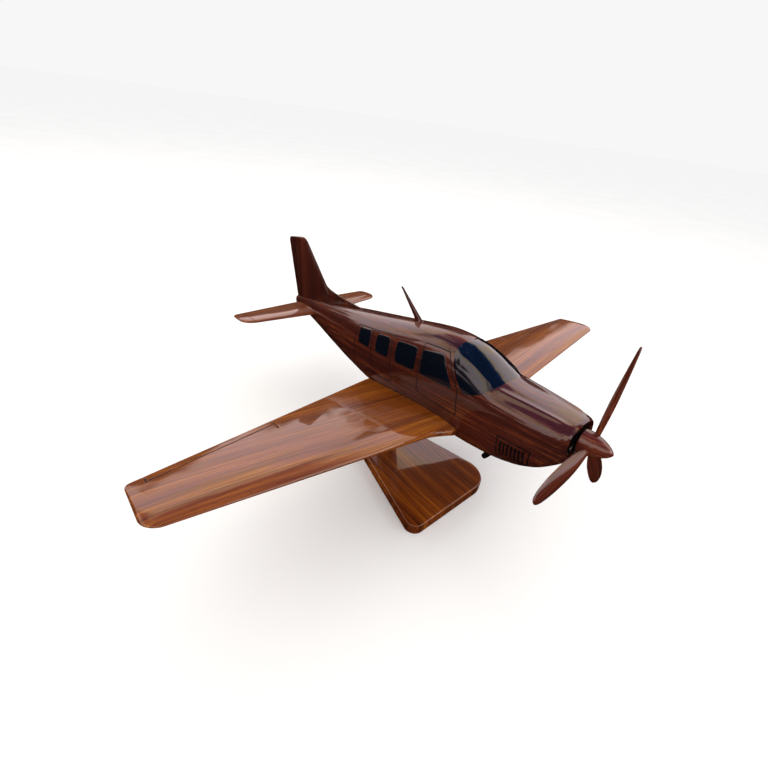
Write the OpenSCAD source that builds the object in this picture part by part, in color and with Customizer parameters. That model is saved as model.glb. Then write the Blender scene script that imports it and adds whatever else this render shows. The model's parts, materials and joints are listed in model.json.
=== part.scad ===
// Carved hardwood desk model of a low-wing light aeroplane on a tapered stand.
// Row frame: millimetres, +Z up, nose toward -Y, port wing toward +X.
// Origin: middle of the underside of the stand's base board.
// The aeroplane is drawn in its own axes (y aft of the spinner tip, z above
// the thrust line) and then set nose-up on the stand's pin by in_flight().

/* [Fuselage] */
// Length from the nose face to the tail end
fus_l = 327; // [270:1:395]
// Greatest width of the cabin
cabin_w = 49.6; // [41:0.1:60]
// Height of the roof above the thrust line
roof_h = 35.8; // [32:0.1:43]
// Depth of the belly below the thrust line
belly_d = 38.3; // [34:0.1:46]
// Distance from the spinner tip back to the nose face
nose_y = 19.3; // [16:0.1:23.5]

/* [Wing] */
// Span from tip to tip
wing_span = 425; // [352:1:510]
// Chord at the root, without the glove
wing_root_c = 94; // [78:1:100]
// Chord at the tip, before the corners are rounded
wing_tip_c = 36; // [30:1:50]
// Leading edge at the root, aft of the spinner tip
wing_root_y = 95.4; // [92:0.1:102]
// How far the tip's leading edge lies aft of the root's
wing_sweep = 11.7; // [0:0.1:20]
// Dihedral angle of each panel
dihedral = 6.3; // [2:0.1:8]
// Wing thickness as a share of the chord
wing_t = 0.11; // [0.1:0.001:0.14]
// Chord plane at the root, below the thrust line
wing_low = 26; // [23:0.1:28]
// Forward reach of the leading-edge glove at the root
glove_l = 6; // [0:0.5:11]
// Distance of the aileron's engraved line from the trailing edge
aileron_c = 5.2; // [3.5:0.1:7]
// Depth of the seat that takes the wing root
root_seat = 2.3; // [1:0.1:4]

/* [Tail] */
// Span of the tailplane
tail_span = 160; // [134:1:192]
// Tailplane chord at the middle
tail_root_c = 45.6; // [38:0.1:50]
// Tailplane chord at the tip
tail_tip_c = 29; // [24:0.1:36]
// Trailing edge of the tailplane, aft of the spinner tip
tail_te_y = 336.4; // [336:0.1:341]
// Height of the fin's tip above the thrust line
fin_h = 70; // [58:0.5:84]
// Fin chord at the tip
fin_tip_c = 31; // [24:0.5:36]
// Greatest thickness of the fin at its root
fin_t = 6; // [5:0.1:7]

/* [Propeller] */
// Diameter swept by the blade tips
prop_d = 121; // [104:1:148]
// Number of blades
blades = 3; // [3:1:3]
// Widest chord of a blade
blade_c = 9.9; // [8:0.1:13]
// Length of the spinner
spinner_l = 18; // [15:0.1:21.5]
// Diameter of the spinner's back
spinner_d = 15.6; // [13:0.1:18.5]
// Place of the blade axes, aft of the spinner tip
blade_y = 12; // [10:0.1:13.5]
// Angle of the first blade from upright
blade_phase = 22.9; // [0:0.1:119]
// Diameter of a blade's round shank
shank_d = 3.6; // [3:0.1:4.2]
// Diameter of the steel axle
axle_d = 2.5; // [2:0.1:3]
// Length of the axle behind the spinner
axle_reach = 17; // [12:0.5:24]
// Outside diameter of the brass nose bush
bush_d = 4; // [3.6:0.1:5]
// Length of the nose bush
bush_l = 20; // [14:0.5:30]
// Thickness of the thrust washer
washer_t = 1; // [0.6:0.1:1]

/* [Stand] */
// Length of the base board
base_l = 130; // [110:1:156]
// Width of the base board at the front
base_front_w = 104; // [87:1:125]
// Width of the base board at the rear
base_rear_w = 40; // [34:1:60]
// Thickness of the base board
base_t = 10; // [8:0.5:14]
// Width of the chamfer round the base board's top
base_chamfer = 1.2; // [0.5:0.1:2]
// Corner radius at the starboard front
corner_sb = 9; // [5:0.5:14]
// Corner radius at the port front
corner_pt = 20; // [8:0.5:24]
// Height of the ferrule's seat above the base board
seat_h = 61.4; // [50:0.1:80]
// Place of the upright pin along the base board
pin_y = 8; // [0:0.5:14]
// Nose-up angle of the model on its stand
nose_up = 7; // [0:0.5:10]
// Place of the model's pin bore, aft of the spinner tip
bore_y = 160; // [150:0.5:170]
// How far the arm's foot lies behind its head
arm_lean = 23; // [15:0.5:30]
// Width of the arm at its foot
arm_w = 20; // [16:0.5:26]
// Fore and aft depth of the arm at its foot
arm_d = 15; // [12:0.5:18]
// Diameter of the steel support pin
pin_d = 4; // [3:0.1:5]
// Wall of the brass ferrule in the belly
ferrule_wall = 1; // [0.8:0.1:1.5]
// How far the ferrule's flange stands proud of the belly
seat_proud = 1.6; // [1.2:0.1:2.4]
// Depth of the ferrule's bore
ferrule_l = 22; // [16:0.5:26]

/* [Fits] */
// Radial clearance of a turning or sliding pin
run_gap = 0.05; // [0.02:0.01:0.1]
// Gap between parts that move past one another
face_gap = 0.3; // [0.2:0.05:0.5]
// Depth to which the panes are let into the wood
pane_t = 1.1; // [0.8:0.1:1.6]
// Width of an engraved line
line_w = 0.7; // [0.4:0.1:1]

/* [Hidden] */

WOOD = "#6b2f16";
WOOD_DARK = "#4a1a10";
GLOSS_BLACK = "#0b0d12";
BRASS = "#b08d4a";
STEEL = "#9a9ea3";

half_w = cabin_w / 2;
half_span = wing_span / 2;
tail_half = tail_span / 2;
ring_n = 32;          // points round a fuselage ring
foil_n = 12;          // chordwise steps along one side of an aerofoil
wing_seat_x = half_w - root_seat;

// Fuselage stations: share of fus_l, then shares of half_w, roof_h, belly_d,
// height of the widest line as a share of belly_d, and the fullness of the
// upper and lower halves (2 is an ellipse, more is squarer).
STATIONS = [
    [0.000, 0.62, 0.30, 0.31, 0.00, 2.6, 2.3],
    [0.006, 0.69, 0.325, 0.42, -0.01, 2.6, 2.3],
    [0.021, 0.77, 0.345, 0.56, -0.03, 2.6, 2.3],
    [0.052, 0.85, 0.385, 0.77, -0.08, 2.6, 2.4],
    [0.095, 0.92, 0.435, 0.92, -0.13, 2.6, 2.5],
    [0.150, 0.97, 0.505, 0.995, -0.18, 2.6, 2.6],
    [0.182, 0.985, 0.650, 1.00, -0.20, 2.5, 2.7],
    [0.214, 0.995, 0.815, 1.00, -0.20, 2.4, 2.8],
    [0.250, 1.00, 0.935, 1.00, -0.21, 2.4, 2.8],
    [0.285, 1.00, 0.990, 1.00, -0.21, 2.4, 2.8],
    [0.315, 1.00, 1.000, 1.00, -0.21, 2.4, 2.8],
    [0.360, 1.00, 0.965, 1.00, -0.21, 2.4, 2.8],
    [0.416, 1.00, 0.890, 0.995, -0.21, 2.4, 2.8],
    [0.523, 0.955, 0.747, 0.930, -0.19, 2.4, 2.7],
    [0.633, 0.830, 0.610, 0.770, -0.11, 2.3, 2.5],
    [0.737, 0.640, 0.480, 0.565, -0.05, 2.2, 2.4],
    [0.859, 0.370, 0.325, 0.315, -0.01, 2.2, 2.3],
    [0.951, 0.185, 0.215, 0.155, 0.02, 2.2, 2.2],
    [1.000, 0.105, 0.165, 0.085, 0.04, 2.2, 2.2]];

// Rings of the carved body, closer together where it bends most.
RINGS = concat([0, 0.006, 0.013, 0.021, 0.035, 0.052, 0.073, 0.095, 0.122],
               [for (i = [0 : 11]) 0.150 + i * 0.0165],
               [for (i = [1 : 10]) 0.3315 + i * 0.0620],
               [0.975, 1]);

// Aerofoil half-thickness at share t of the chord, for unit thickness.
function foil(t) = 5 * (0.2969 * sqrt(t) - 0.1260 * t - 0.3516 * t * t
                        + 0.2843 * t * t * t - 0.1015 * t * t * t * t);
function mix(a, b, t) = a + (b - a) * t;
function clamp01(t) = min(1, max(0, t));
function sgn_pow(v, n) = sign(v) * pow(abs(v), n);
function seg(T, s, i = 0) = i >= len(T) - 2 || s < T[i + 1][0] ? i : seg(T, s, i + 1);
function step(T, c, i) = (T[i + 1][c] - T[i][c]) / (T[i + 1][0] - T[i][0]);
// Slope that never overshoots: the harmonic mean of the steps on each side.
function slope(T, c, i) =
    i == 0 ? step(T, c, 0) : i == len(T) - 1 ? step(T, c, i - 1) :
    let (a = step(T, c, i - 1), b = step(T, c, i)) a * b <= 0 ? 0 : 2 * a * b / (a + b);
function curve(T, c, s) =
    let (i = seg(T, s), h = T[i + 1][0] - T[i][0], t = (s - T[i][0]) / h)
    T[i][c] * (1 + 2 * t) * (1 - t) * (1 - t) + T[i + 1][c] * t * t * (3 - 2 * t)
    + slope(T, c, i) * h * t * (1 - t) * (1 - t) - slope(T, c, i + 1) * h * t * t * (1 - t);

function station_of(y) = clamp01((y - nose_y) / fus_l);
function body_w(y) = half_w * curve(STATIONS, 1, station_of(y));
function body_top(y) = roof_h * curve(STATIONS, 2, station_of(y));
function body_bottom(y) = -belly_d * curve(STATIONS, 3, station_of(y));
function body_mid(y) = belly_d * curve(STATIONS, 4, station_of(y));
// Half-width of the body at place y and height z.
function body_x(y, z) =
    let (s = station_of(y), m = body_mid(y), up = z > m,
         h = up ? body_top(y) - m : m - body_bottom(y),
         n = curve(STATIONS, up ? 5 : 6, s))
    body_w(y) * pow(max(0, 1 - pow(min(1, abs(z - m) / h), n)), 1 / n);
function body_point(y, a) =
    let (s = station_of(y), up = sin(a) >= 0, n = curve(STATIONS, up ? 5 : 6, s),
         m = body_mid(y), h = up ? body_top(y) - m : m - body_bottom(y))
    [body_w(y) * sgn_pow(cos(a), 2 / n), y, m + h * sgn_pow(sin(a), 2 / n)];

// Skin over a stack of closed rings that all have the same number of points.
// The ends are laddered from the first point and the last toward the middle,
// which holds for outlines that narrow to a long thin neck.
module skin(R) {
    n = len(R[0]);
    m = len(R);
    last = (m - 1) * n;
    ladder = [for (i = [0 : floor((n - 1) / 2) - 1])
        each concat([[i, i + 1, n - 1 - i]], i + 1 == n - 2 - i ? [] : [[i + 1, n - 2 - i, n - 1 - i]])];
    polyhedron(
        points = [for (r = R) for (p = r) p],
        faces = concat(
            ladder,
            [for (k = [0 : m - 2]) for (i = [0 : n - 1])
                [k * n + i, (k + 1) * n + i, (k + 1) * n + (i + 1) % n]],
            [for (k = [0 : m - 2]) for (i = [0 : n - 1])
                [k * n + i, (k + 1) * n + (i + 1) % n, k * n + (i + 1) % n]],
            [for (f = ladder) [last + f[2], last + f[1], last + f[0]]]));
}

// Sets the model nose-up with its pin bore over the upright pin.
module in_flight() {
    translate([0, pin_y, base_t + seat_h + flange_t])
        rotate([-nose_up, 0, 0])
            translate([0, -bore_y, -body_bottom(bore_y) - flange_t + seat_proud])
                children();
}
module mirror_x(side) {
    if (side < 0) mirror([1, 0, 0]) children();
    else children();
}

// ---- Fuselage ------------------------------------------------------------
module body_loft() {
    skin([for (s = RINGS) let (y = nose_y + s * fus_l)
        [for (i = [0 : ring_n - 1]) body_point(y, -360 * (i + 0.5) / ring_n)]]);
}

// Closed aerofoil loop, trailing edge over the top to the nose and back below.
function foil_loop(le, te, thick, edge) = [
    for (i = [0 : foil_n]) let (t = (1 + cos(180 * i / foil_n)) / 2)
        [mix(le, te, t), thick * 1.12 * foil(t) + edge * t],
    for (i = [1 : foil_n]) let (t = (1 - cos(180 * i / foil_n)) / 2)
        [mix(le, te, t), -thick * 0.88 * foil(t) - edge * t]];

// ---- Wing ----------------------------------------------------------------
tip_r = 9;            // round of the leading-edge corner at the tip
tip_te_r = 3;         // round of the trailing-edge corner at the tip
glove_x = half_w + 23; // where the glove has faded out
root_flat_x = half_w + 1.4;
function round_in(x, r) = let (u = max(0, x - (half_span - r))) r - sqrt(max(0, r * r - u * u));
function wing_share(x) = clamp01((x - half_w) / (half_span - half_w));
function wing_le(x) = let (xe = max(x, root_flat_x))
    wing_root_y + wing_sweep * wing_share(xe) + round_in(xe, tip_r)
    - glove_l * pow(1 - clamp01((xe - root_flat_x) / (glove_x - root_flat_x)), 1.6);
function wing_te(x) = let (xe = max(x, root_flat_x))
    wing_root_y + wing_root_c
    + (wing_sweep + wing_tip_c - wing_root_c) * wing_share(xe) - round_in(xe, tip_te_r);
function wing_z(x) = -wing_low + (max(x, root_flat_x) - half_w) * tan(dihedral);
function wing_thick(x) = let (xe = max(x, root_flat_x), f = round_in(xe, tip_r) / tip_r)
    wing_t * mix(wing_root_c, wing_tip_c, wing_share(xe)) * (1 - 0.45 * f);
WING_X = concat([wing_seat_x, root_flat_x, root_flat_x + 5, root_flat_x + 10, root_flat_x + 16, glove_x],
                [for (t = [0.25, 0.5, 0.75]) mix(glove_x, half_span - tip_r, t)],
                [for (a = [0, 25, 42, 56, 68, 78, 86]) half_span - tip_r + tip_r * sin(a)]);
function wing_ring(x) =
    [for (p = foil_loop(wing_le(x), wing_te(x), wing_thick(x), 0.5)) [x, p[0], wing_z(x) + p[1]]];

// Straight groove let down 0.5 mm along the wing's upper side.
module wing_groove(x0, y0, x1, y1) {
    function top(x, y) = wing_z(x) + 1.12 * wing_thick(x)
        * foil((y - wing_le(x)) / (wing_te(x) - wing_le(x))) + 0.5;
    z0 = top(x0, y0);
    z1 = top(x1, y1);
    run = norm([x1 - x0, y1 - y0]);
    translate([x0, y0, z0])
        rotate([0, 0, atan2(y1 - y0, x1 - x0)])
            rotate([0, -atan2(z1 - z0, run), 0])
                translate([0, -line_w / 2, -0.5]) cube([run, line_w, 3]);
}
aileron_out = 0.95;   // ends of the aileron, as shares of the panel
aileron_in = 0.535;
module control_lines() {
    function at(f) = mix(half_w, half_span, f);
    function hy(x) = wing_te(x) - aileron_c;
    xo = at(aileron_out);
    xi = at(aileron_in);
    wing_groove(xi, hy(xi), xo, hy(xo));
    wing_groove(xo, hy(xo), xo, wing_te(xo) - 0.6);
    wing_groove(xi, hy(xi) - aileron_c, xi, wing_te(xi) - 0.6);
}
dowel_d = 5;
dowel_l = 22;
module wing_dowel_set(side) {
    mirror_x(side)
        for (y = [wing_root_y + 22, wing_root_y + 56])
            translate([wing_seat_x - dowel_l / 2, y, -wing_low])
                rotate([0, 90, 0]) cylinder(d = dowel_d, h = dowel_l, $fn = 32);
}
module wing(side) {
    difference() {
        mirror_x(side) difference() {
            skin([for (x = WING_X) wing_ring(x)]);
            control_lines();
        }
        wing_dowel_set(side);
    }
}
// The wing root's own outline, run straight out from its seat.
module wing_seat(side) {
    x0 = wing_seat_x;
    mirror_x(side) translate([x0, 0, 0]) rotate([90, 0, 90]) linear_extrude(20)
        polygon([for (p = foil_loop(wing_le(x0), wing_te(x0), wing_thick(x0), 0.5))
            [p[0], wing_z(x0) + p[1]]]);
}

// ---- Tail ----------------------------------------------------------------
tail_z = 1;           // tailplane's chord plane above the thrust line
tail_seat_x = body_x(tail_te_y - 8, tail_z) * 0.62;
tail_flat_x = body_x(tail_te_y - tail_root_c, tail_z) + 1;
function tail_round(x, r) = let (u = max(0, x - (tail_half - r))) r - sqrt(max(0, r * r - u * u));
function tail_share(x) = clamp01(x / tail_half);
function tail_te(x) = tail_te_y - 3.7 * tail_share(max(x, tail_flat_x)) - tail_round(x, 5);
function tail_le(x) = tail_te_y - tail_root_c
    + (tail_root_c - tail_tip_c - 3.7) * tail_share(max(x, tail_flat_x)) + tail_round(x, 12);
function tail_thick(x) = 0.105 * mix(tail_root_c, tail_tip_c, tail_share(max(x, tail_flat_x)))
    * (1 - 0.45 * tail_round(x, 12) / 12);
TAIL_X = concat([tail_seat_x, tail_flat_x], [for (t = [0.5]) mix(tail_flat_x, tail_half - 12, t)],
                [for (a = [0, 28, 46, 60, 72, 84]) tail_half - 12 + 12 * sin(a)]);
module tail_dowel(side) {
    mirror_x(side) translate([0.4, tail_te_y - tail_root_c + 17, tail_z])
        rotate([0, 90, 0]) cylinder(d = 2.4, h = 13, $fn = 24);
}
module tailplane(side) {
    difference() {
        mirror_x(side)
            skin([for (x = TAIL_X)
                [for (p = foil_loop(tail_le(x), tail_te(x), tail_thick(x), 0.45)) [x, p[0], tail_z + p[1]]]]);
        tail_dowel(side);
    }
}
module tail_seat(side) {
    mirror_x(side) translate([tail_seat_x, 0, 0]) rotate([90, 0, 90]) linear_extrude(16)
        polygon([for (p = foil_loop(tail_le(0), tail_te(0), tail_thick(0), 0.45)) [p[0], tail_z + p[1]]]);
}

// Fin and the long low fillet ahead of it, one piece let into the spine.
fin_te0 = nose_y + fus_l - 3.3;  // trailing edge where it leaves the spine
fin_rake = 10;                   // how far the tip's trailing edge lies aft
fillet_y = nose_y + 0.632 * fus_l;
fin_le0 = fin_te0 - 63;
tip_round = 5;                   // round of the tip's front corner
fin_foot = body_top(fin_te0 - 4) - 3;
fillet_z = body_top(fillet_y) + 0.2;
FIN_Z = concat([fin_foot, fillet_z - 0.2, fillet_z + 1.5, fillet_z + 4],
               [for (t = [0.35, 0.7]) mix(fillet_z + 4, fin_h - tip_round, t)],
               [for (a = [0, 30, 50, 68, 84]) fin_h - tip_round + tip_round * sin(a)]);
function fin_up(z) = (z - fillet_z) / (fin_h - fillet_z);
function fin_te(z) = fin_te0 + fin_rake * (z - body_top(fin_te0)) / (fin_h - body_top(fin_te0))
    - 0.25 * fin_round(z);
function fin_round(z) = let (u = max(0, z - (fin_h - tip_round)))
    tip_round - sqrt(max(0, tip_round * tip_round - u * u));
function fin_tip_le() = fin_te0 + fin_rake - fin_tip_c;
function fin_le(z) = z < fillet_z ? fin_le0 :
    mix(fin_le0, fin_tip_le(), fin_up(z)) + fin_round(z);
// Front of the thin fillet at height z: it dies away above the spine line.
function fillet_le(z) = z < fillet_z ? fillet_y :
    z < fillet_z + 1.5 ? fillet_y + 6 : z < fillet_z + 4 ? fin_le(z) - 14 : fin_le(z) - 0.5;
function fin_ring(z) = let (le = fin_le(z), te = z <= fin_foot ? fin_te0 : fin_te(z),
        t = fin_t * mix(1, 0.5, clamp01(fin_up(z))) * (1 - 0.4 * fin_round(z) / tip_round), n = 9,
        side = [for (i = [0 : n]) let (u = (1 + cos(180 * i / n)) / 2)
            [mix(le, te, u), max(0.7, t * foil(u) + 0.45 * u)]])
    concat([for (p = side) [-p[1], p[0], z - fin_drop(p[0], z)]],
           [[-0.7, fillet_le(z), z], [0.7, fillet_le(z), z]],
           [for (i = [0 : n]) let (p = side[n - i]) [p[1], p[0], z - fin_drop(p[0], z)]]);
// The tip slopes down aft: drop of a point of the ring at height z.
function fin_drop(y, z) = 0.11 * max(0, y - fin_le(z)) * clamp01(fin_up(z));
module fin_dowel_set() {
    for (y = [fin_te0 - 44, fin_te0 - 14])
        translate([0, y, fin_foot - 4]) cylinder(d = 2.2, h = 16, $fn = 24);
}
module fin_slot() {
    translate([0, 0, fin_foot]) linear_extrude(40)
        polygon([for (p = fin_ring(fin_foot)) [p[0], p[1]]]);
}
module rudder_line() {
    for (s = [-1, 1])
        translate([s * 3.1, fin_te0 - 10.5, 12])
            rotate([-5, 0, 0]) translate([-1.5, -line_w / 2, 0]) cube([3, line_w, fin_h - 8]);
}

// ---- Panes ---------------------------------------------------------------
// Outlines of the side panes, as [y, z]: sill front, sill rear, head rear,
// head front.
PANES = [[[98, 4.9], [129.3, 4.3], [131, 22.3], [112.5, 25.6]],
         [[135, 4.4], [156.5, 4.0], [158, 20], [136, 22]],
         [[164.8, 3.9], [180.7, 3.7], [182.7, 17.6], [166.2, 19.4]],
         [[189.3, 3.8], [205, 3.5], [206.7, 15.9], [190.7, 17.6]]];
pane_lean = 15;       // lean of the cabin side where the panes sit
pane_z = 13;          // height about which they lean
pane_r = 2.4;         // round of a pane's corners
module pane_block(side) {
    mirror_x(side)
        for (P = PANES) let (cy = (P[0][0] + P[1][0]) / 2,
                             x0 = body_x(cy, pane_z) - pane_t)
            translate([x0, 0, pane_z]) rotate([0, -pane_lean, 0]) rotate([90, 0, 90])
                linear_extrude(9)
                    offset(r = pane_r, $fn = 20) offset(delta = -pane_r)
                        polygon([for (q = P) [q[0], (q[1] - pane_z) / cos(pane_lean)]]);
}
// Wedge of the cabin's front that the windshield fills, hollowed so that the
// wood runs up inside it.
shield_foot_y = nose_y + 49.5;
shield_z = body_top(shield_foot_y);
module shield_wedge() {
    translate([-40, 0, 0]) rotate([90, 0, 90]) linear_extrude(80)
        translate([shield_foot_y, shield_z])
            polygon([[0, -0.4], [2.5, -2.2], [9.6, -8.4], [15, -10.7], [21.8, -11.8],
                     [28.2, -5], [35.4, 4.6], [38, 11.3], [37.6, 30], [-9, 30]]);
}
module shield_core() {
    intersection() {
        translate([-40, 0, 0]) rotate([90, 0, 90]) linear_extrude(80)
            translate([shield_foot_y, shield_z])
                polygon([[10, -1], [14, -14], [60, -14], [60, 11.6], [33, 11.6], [24, 9.2], [16, 4.6]]);
        translate([0, shield_foot_y - 5, 0]) rotate([90, 0, 0]) mirror([0, 0, 1]) linear_extrude(70)
            polygon([for (q = [[-0.84, -3], [0.84, -3], [0.82, 9], [0.62, 19], [0.36, 26],
                               [-0.36, 26], [-0.62, 19], [-0.82, 9]]) [half_w * q[0], q[1]]]);
    }
}

// ---- Small trim ----------------------------------------------------------
mast_y = nose_y + 135.6;
mast_foot = body_top(mast_y);
module mast_solid() {
    hull() {
        translate([0, mast_y, mast_foot - 1.4])
            linear_extrude(0.4) scale([1, 2.6]) circle(d = 2.9, $fn = 24);
        translate([0, mast_y + 22.7, mast_foot + 21.4])
            linear_extrude(0.4) scale([1, 1.4]) circle(d = 1.4, $fn = 24);
    }
    translate([0, mast_y, mast_foot - 7]) cylinder(d = 2, h = 7, $fn = 24);
}
stub_y = nose_y + 46;
module stub_rods(extra = 0) {
    for (s = [-1, 1])
        translate([s * half_w * 0.47, stub_y, body_bottom(stub_y) + 7])
            rotate([-145, 0, 0]) translate([0, 0, -2]) cylinder(d = 4.2, h = 14 + extra, $fn = 28);
}
module louvres(side) {
    ly = nose_y + 18.2;
    lw = 20.6;
    lh = 15.4;
    mirror_x(side)
        translate([body_x(ly + lw / 2, -17.6) - 0.6, ly, -17.6]) rotate([0, 13, -3]) {
            for (i = [0 : 6])
                translate([0, 2.7 + i * 2.35, -5.2 + 0.15 * i]) cube([6, 1.1, 9.6]);
            for (z = [-lh / 2, lh / 2 - line_w]) translate([0, 0, z]) cube([6, lw, line_w]);
            for (y = [0, lw - line_w]) translate([0, y, -lh / 2]) cube([6, line_w, lh]);
        }
}
// Air intakes carved into the nose face, one each side of the spinner.
module intakes() {
    for (s = [-1, 1])
        hull() {
            translate([s * 10.3, nose_y - 1, 4]) rotate([-90, 0, 0]) cylinder(d = 7, h = 8, $fn = 28);
            translate([s * 10.9, nose_y - 1, -1.6]) rotate([-90, 0, 0]) cylinder(d = 6, h = 8, $fn = 28);
        }
}

module nose_bore(d, l) {
    translate([0, nose_y - 1, 0]) rotate([-90, 0, 0]) cylinder(d = d, h = l + 1, $fn = 48);
}
flange_d = 12;
flange_t = 2.8;
ferrule_d = pin_d + 2 * run_gap + 2 * ferrule_wall;
// Vertical tool over the pin, in row axes, brought back into model axes.
module over_pin() {
    translate([0, bore_y, body_bottom(bore_y) + flange_t - seat_proud])
        rotate([nose_up, 0, 0]) children();
}

module fuselage() color(WOOD_DARK) in_flight()
    difference() {
        body_loft();
        for (s = [-1, 1]) {
            wing_seat(s);
            tail_seat(s);
            wing_dowel_set(s);
            tail_dowel(s);
            pane_block(s);
            louvres(s);
        }
        difference() {
            shield_wedge();
            shield_core();
        }
        fin_slot();
        fin_dowel_set();
        mast_solid();
        stub_rods(3);
        intakes();
        nose_bore(bush_d, bush_l);
        over_pin() {
            translate([0, 0, -6]) cylinder(d = flange_d, h = 6, $fn = 48);
            translate([0, 0, -1]) cylinder(d = ferrule_d, h = ferrule_l + 2, $fn = 48);
        }
    }
module wing_starboard() color(WOOD) in_flight() wing(-1);
module wing_port() color(WOOD) in_flight() wing(1);
module wing_dowels() color("#b98a57") in_flight() for (s = [-1, 1]) wing_dowel_set(s);
module tailplane_starboard() color(WOOD) in_flight() tailplane(-1);
module tailplane_port() color(WOOD) in_flight() tailplane(1);
module tail_dowels() color("#b98a57") in_flight() for (s = [-1, 1]) tail_dowel(s);
module fin() color(WOOD) in_flight()
    difference() {
        skin([for (z = FIN_Z) fin_ring(z)]);
        fin_dowel_set();
    }
module fin_dowels() color("#b98a57") in_flight() fin_dowel_set();
module antenna() color(WOOD) in_flight() mast_solid();
module windshield() color(GLOSS_BLACK) in_flight()
    intersection() {
        body_loft();
        difference() {
            shield_wedge();
            shield_core();
        }
    }
module panes(side) color(GLOSS_BLACK) in_flight()
    intersection() {
        body_loft();
        pane_block(side);
    }
module windows_starboard() panes(-1);
module windows_port() panes(1);
module exhaust_stubs() color(GLOSS_BLACK) in_flight() stub_rods();
module nose_bush() color(BRASS) in_flight()
    difference() {
        translate([0, nose_y, 0]) rotate([-90, 0, 0]) cylinder(d = bush_d, h = bush_l, $fn = 48);
        nose_bore(axle_d + 2 * run_gap, bush_l + 1);
    }

// ---- Propeller -----------------------------------------------------------
function nose_cone(t) = spinner_d / 2 * pow(1 - pow(1 - t, 1.8), 0.64);
module blade_axis(k) {
    translate([0, blade_y, 0]) rotate([0, blade_phase + k * 360 / blades, 0]) children();
}
module shank() {
    translate([0, 0, axle_d / 2 + 1.4]) cylinder(d = shank_d, h = spinner_d / 2 + 2 - axle_d / 2 - 1.4, $fn = 32);
}
module spinner() color(WOOD_DARK) in_flight()
    difference() {
        rotate([-90, 0, 0]) rotate_extrude($fn = 64)
            polygon(concat([[0, spinner_l], [0, 0]],
                           [for (i = [1 : 14]) let (t = pow(i / 14, 1.6)) [nose_cone(t), spinner_l * t]]));
        for (k = [0 : blades - 1]) blade_axis(k) shank();
        translate([0, spinner_l - 10, 0]) rotate([-90, 0, 0]) cylinder(d = axle_d, h = 11, $fn = 48);
    }
// Blade stations: share of the way to the tip, share of blade_c, thickness.
BLADE = [[0.00, 0.32, 2.9], [0.10, 0.50, 2.7], [0.28, 0.80, 2.5], [0.48, 0.98, 2.3],
         [0.66, 1.00, 2.1], [0.80, 0.92, 1.9], [0.89, 0.80, 1.7], [0.95, 0.62, 1.5],
         [0.985, 0.38, 1.2], [1.00, 0.14, 0.9]];
module blade(k) color(WOOD) in_flight() blade_axis(k)
    union() {
        shank();
        r0 = spinner_d / 2 + 0.5;
        skin([for (b = BLADE) let (r = mix(r0, prop_d / 2, b[0]), tw = mix(44, 20, b[0]))
            [for (i = [0 : 15]) let (a = 360 * i / 16, u = cos(a) * blade_c * b[1] / 2, v = sin(a) * b[2] / 2)
                [u * cos(tw) - v * sin(tw), u * sin(tw) + v * cos(tw), r]]]);
    }
module blade_1() blade(0);
module blade_2() blade(1);
module blade_3() blade(2);
module prop_axle() color(STEEL) in_flight()
    translate([0, spinner_l - 10, 0]) rotate([-90, 0, 0]) cylinder(d = axle_d, h = 10 + axle_reach, $fn = 48);
module thrust_washer() color(BRASS) in_flight()
    translate([0, spinner_l, 0]) rotate([-90, 0, 0])
        difference() {
            cylinder(d = spinner_d * 0.55, h = washer_t, $fn = 48);
            translate([0, 0, -1]) cylinder(d = axle_d + 2 * run_gap, h = washer_t + 2, $fn = 48);
        }

// ---- Stand ---------------------------------------------------------------
head_z = base_t + seat_h - face_gap;  // top of the arm, just under the flange
module belly_ferrule() color(BRASS)
    translate([0, pin_y, head_z + face_gap])
        difference() {
            union() {
                cylinder(d = flange_d, h = flange_t, $fn = 48);
                cylinder(d = ferrule_d, h = ferrule_l + 2, $fn = 48);
            }
            translate([0, 0, -1]) cylinder(d = pin_d + 2 * run_gap, h = ferrule_l + 1, $fn = 48);
        }
// The pin stands upright in a leaning arm, so its hole goes only as deep as
// leaves pin_wall of wood in front of it.
pin_wall = 1;
pin_sunk = min(18, (head_z - base_t) * (0.4 * arm_d - pin_d / 2 - run_gap - pin_wall)
                   / max(1, arm_lean - 0.1 * arm_d) - 0.3);
module support_pin() color(STEEL)
    translate([0, pin_y, head_z - pin_sunk]) {
        len = pin_sunk + face_gap + ferrule_l - 0.5;
        union() {
            cylinder(d = pin_d, h = len - 0.6, $fn = 48);
            translate([0, 0, len - 0.6]) cylinder(d1 = pin_d, d2 = pin_d - 1.2, h = 0.6, $fn = 48);
        }
    }
module rounded_slab(w, d, r, h) {
    linear_extrude(h) offset(r = r, $fn = 32) square([w - 2 * r, d - 2 * r], center = true);
}
screw_d = 3;
screw_l = 22;
module arm_screw_places() {
    for (s = [-1, 1])
        translate([s * arm_w * 0.26, pin_y + arm_lean - 1.5, 0]) children();
}
module stand_arm() color(WOOD)
    difference() {
        hull() {
            translate([0, pin_y + arm_lean, base_t]) rounded_slab(arm_w, arm_d, 3, 0.5);
            translate([0, pin_y, head_z - 0.5]) rounded_slab(arm_w * 0.72, arm_d * 0.8, 3, 0.5);
        }
        translate([0, pin_y, head_z - pin_sunk - 0.3])
            cylinder(d = pin_d + 2 * run_gap, h = pin_sunk + 1, $fn = 48);
        arm_screw_places() cylinder(d = screw_d, h = screw_l + 1, $fn = 32);
    }
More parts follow.
